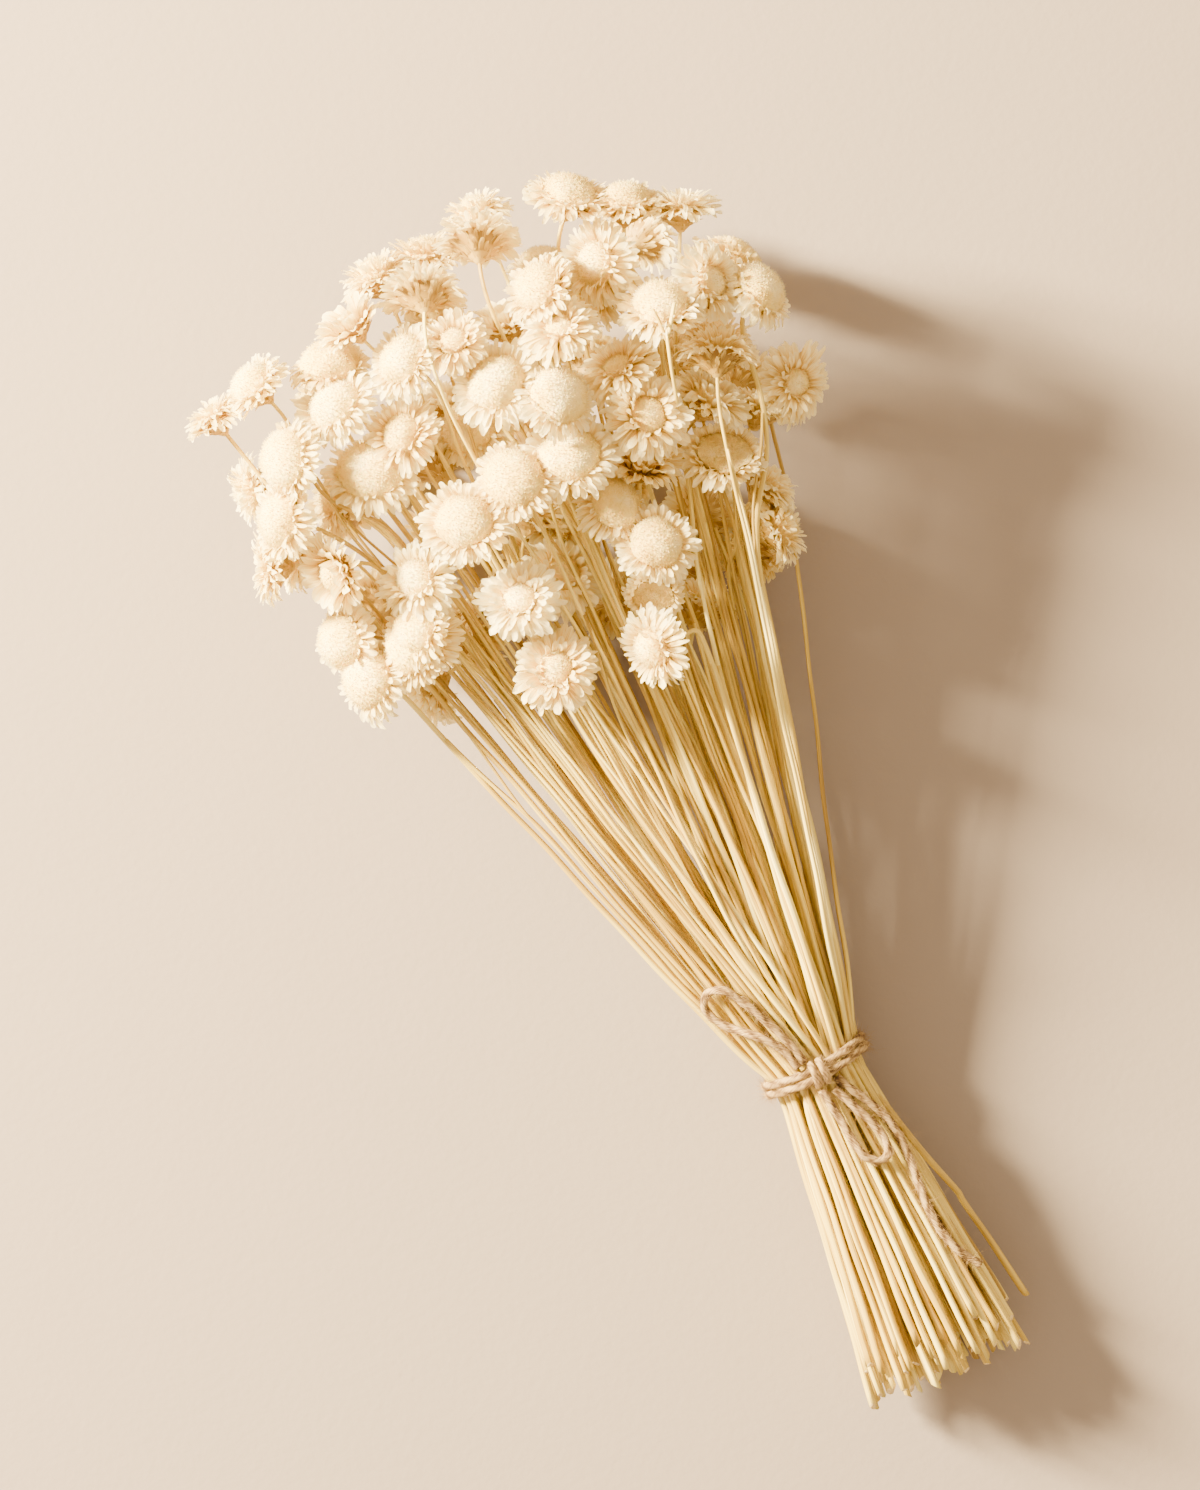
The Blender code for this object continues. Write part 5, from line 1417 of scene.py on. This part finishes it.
def placeHead(kind, number, centre, axis, size):
    # a copy of a kind, turned, ruffled, bent out of true and set at its place
    rng = np.random.default_rng(900 + number)
    points = kind["points"].astype(float)
    turn = rng.uniform(0.0, 2.0 * math.pi)
    c, s = math.cos(turn), math.sin(turn)
    points = np.stack([c * points[:, 0] - s * points[:, 1], s * points[:, 0] + c * points[:, 1], points[:, 2]], 1)
    radius, angle = np.hypot(points[:, 0], points[:, 1]), np.arctan2(points[:, 1], points[:, 0])
    phase = rng.uniform(0.0, 2.0 * math.pi, 6)
    far = np.clip((radius - 3.5) / 6.0, 0.0, 1.2)
    fold = rng.uniform(0.2, 1.3) * np.sin(angle + phase[4]) + np.sin(2 * angle + phase[0]) + 0.6 * np.sin(3 * angle + phase[1])
    points[:, 2] += daisy["warp"] * far**2 * fold
    points[:, 2] += daisy["ruffle"] * far * np.sin(1.7 * points[:, 0] + phase[2]) * np.sin(2.1 * points[:, 1] + phase[3])
    points[:, :2] *= (1.0 + 0.05 * np.sin(2 * angle + phase[5]) + 0.03 * np.sin(5 * angle + phase[3]))[:, None]
    world = points @ bases(axis[None])[0] * size * daisy["spread"] + centre + bunch["originShift"]
    world[:, 2] = np.maximum(world[:, 2], 0.0)  # what touches the table lies flat on it
    return {**kind, "points": world, "age": np.full(len(world), rng.uniform(0.0, 1.0), np.float32)}


def makeDaisies(heads, group):
    felt = feltMaterial()
    petal = paperMaterial("papery petal", 0.45, (
        (0.28, "#D0B04C"), (0.46, "#EED27A"), (0.68, "#FFF0AE"), (0.88, "#FFFAD4")), 0.38)
    bract = paperMaterial("dry bract", 0.4, (
        (0.3, "#8E6A26"), (0.5, "#BC983E"), (0.72, "#DABE6C"), (0.92, "#F0DC9C")), 0.22)
    kinds = makeKinds(felt, petal, bract)
    print("daisy kinds:", {letter: len(kind["totals"]) for letter, kind in kinds.items()}, "faces")
    letters = daisy["seenKinds"] + daisy["cupKinds"]
    worst = 0.0
    for node, first in enumerate(sorted(set(group)), 1):
        members = np.flatnonzero(group == first)
        solid = f"flower_{node:02d}" if len(members) == 1 else f"flowers_{node:02d}"
        parts = []
        for number in members:
            letter = letters[number] if number < len(letters) else daisy["restKinds"][number % 6]
            parts.append(placeHead(kinds[letter], number, heads.centres[number], heads.axes[number], heads.sizes[number]))
        obj = meshFromArrays(f"daisy{node:02d}", parts, (felt, petal, bract))
        seat(obj, solid)
        low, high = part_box(solid)
        middle = np.array((low + high) / 2.0)
        own = np.array([v.co for v in obj.data.vertices])
        worst = max(worst, float(np.abs((own.min(0) + own.max(0)) / 2.0 - middle).max()))
    print(f"daisies: {len(set(group))} pieces, furthest from its solid {worst / mm:.2f} mm")


def makeStage(right, up):
    material, tree, shader, out = startMaterial("pale painted board")
    where = addNode(tree, "ShaderNodeTexCoord")
    mottle = addNode(tree, "ShaderNodeTexNoise", links={"Vector": where.outputs["Object"]}, Scale=14.0, Detail=4.0)
    base = linear(studio["floorColour"])
    tone = addNode(tree, "ShaderNodeMix", {"data_type": "RGBA"}, {"Factor": mottle.outputs["Fac"]})
    tone.inputs["A"].default_value = (*[v * 0.97 for v in base[:3]], 1.0)
    tone.inputs["B"].default_value = (*[min(1.0, v * 1.02) for v in base[:3]], 1.0)
    tree.links.new(tone.outputs["Result"], shader.inputs["Base Color"])
    shader.inputs["Roughness"].default_value = 0.8
    tooth = addNode(tree, "ShaderNodeTexNoise", links={"Vector": where.outputs["Object"]}, Scale=420.0, Detail=3.0)
    bump = addNode(tree, "ShaderNodeBump", links={"Height": tooth.outputs["Fac"]}, Strength=0.12, Distance=0.0006)
    tree.links.new(bump.outputs["Normal"], shader.inputs["Normal"])
    half = studio["floorSize"] / 2.0
    floor = meshObject("floor", [(-half, -half, 0), (half, -half, 0), (half, half, 0), (-half, half, 0)],
                       [(0, 1, 2, 3)], materials=[material], smooth=False)
    data = bpy.data.lights.new("window", "AREA")
    data.shape = "RECTANGLE"
    data.size = studio["keyWide"]
    data.size_y = studio["keyTall"]
    data.energy = studio["keyPower"]
    data.color = linear(studio["keyColour"])[:3]
    lamp = bpy.data.objects.new("window", data)
    bpy.context.scene.collection.objects.link(lamp)
    flat = (right * studio["keyAcross"] + up * studio["keyUp"]).normalized()
    tilt = math.radians(studio["keyElevation"])
    way = flat * math.cos(tilt) + Vector((0.0, 0.0, math.sin(tilt)))
    lamp.location = Vector((view["centre"][0] * mm, view["centre"][1] * mm, 0.03)) + way * studio["keyDistance"]
    lamp.rotation_euler = way.to_track_quat("Z", "Y").to_euler()
    world = bpy.data.worlds.new("room")
    world.use_nodes = True
    room = world.node_tree.nodes["Background"]
    room.inputs["Color"].default_value = linear(studio["roomColour"])
    room.inputs["Strength"].default_value = studio["roomStrength"]
    bpy.context.scene.world = world


right, up = makeCamera()
makeStage(right, up)
print("camera and light ready")
heads, stems, group = makeLayout()
print("layout ready:", len(heads.centres), "heads")
makeTwine(heads, stems)
makeStems(heads, stems)
makeDaisies(heads, group)
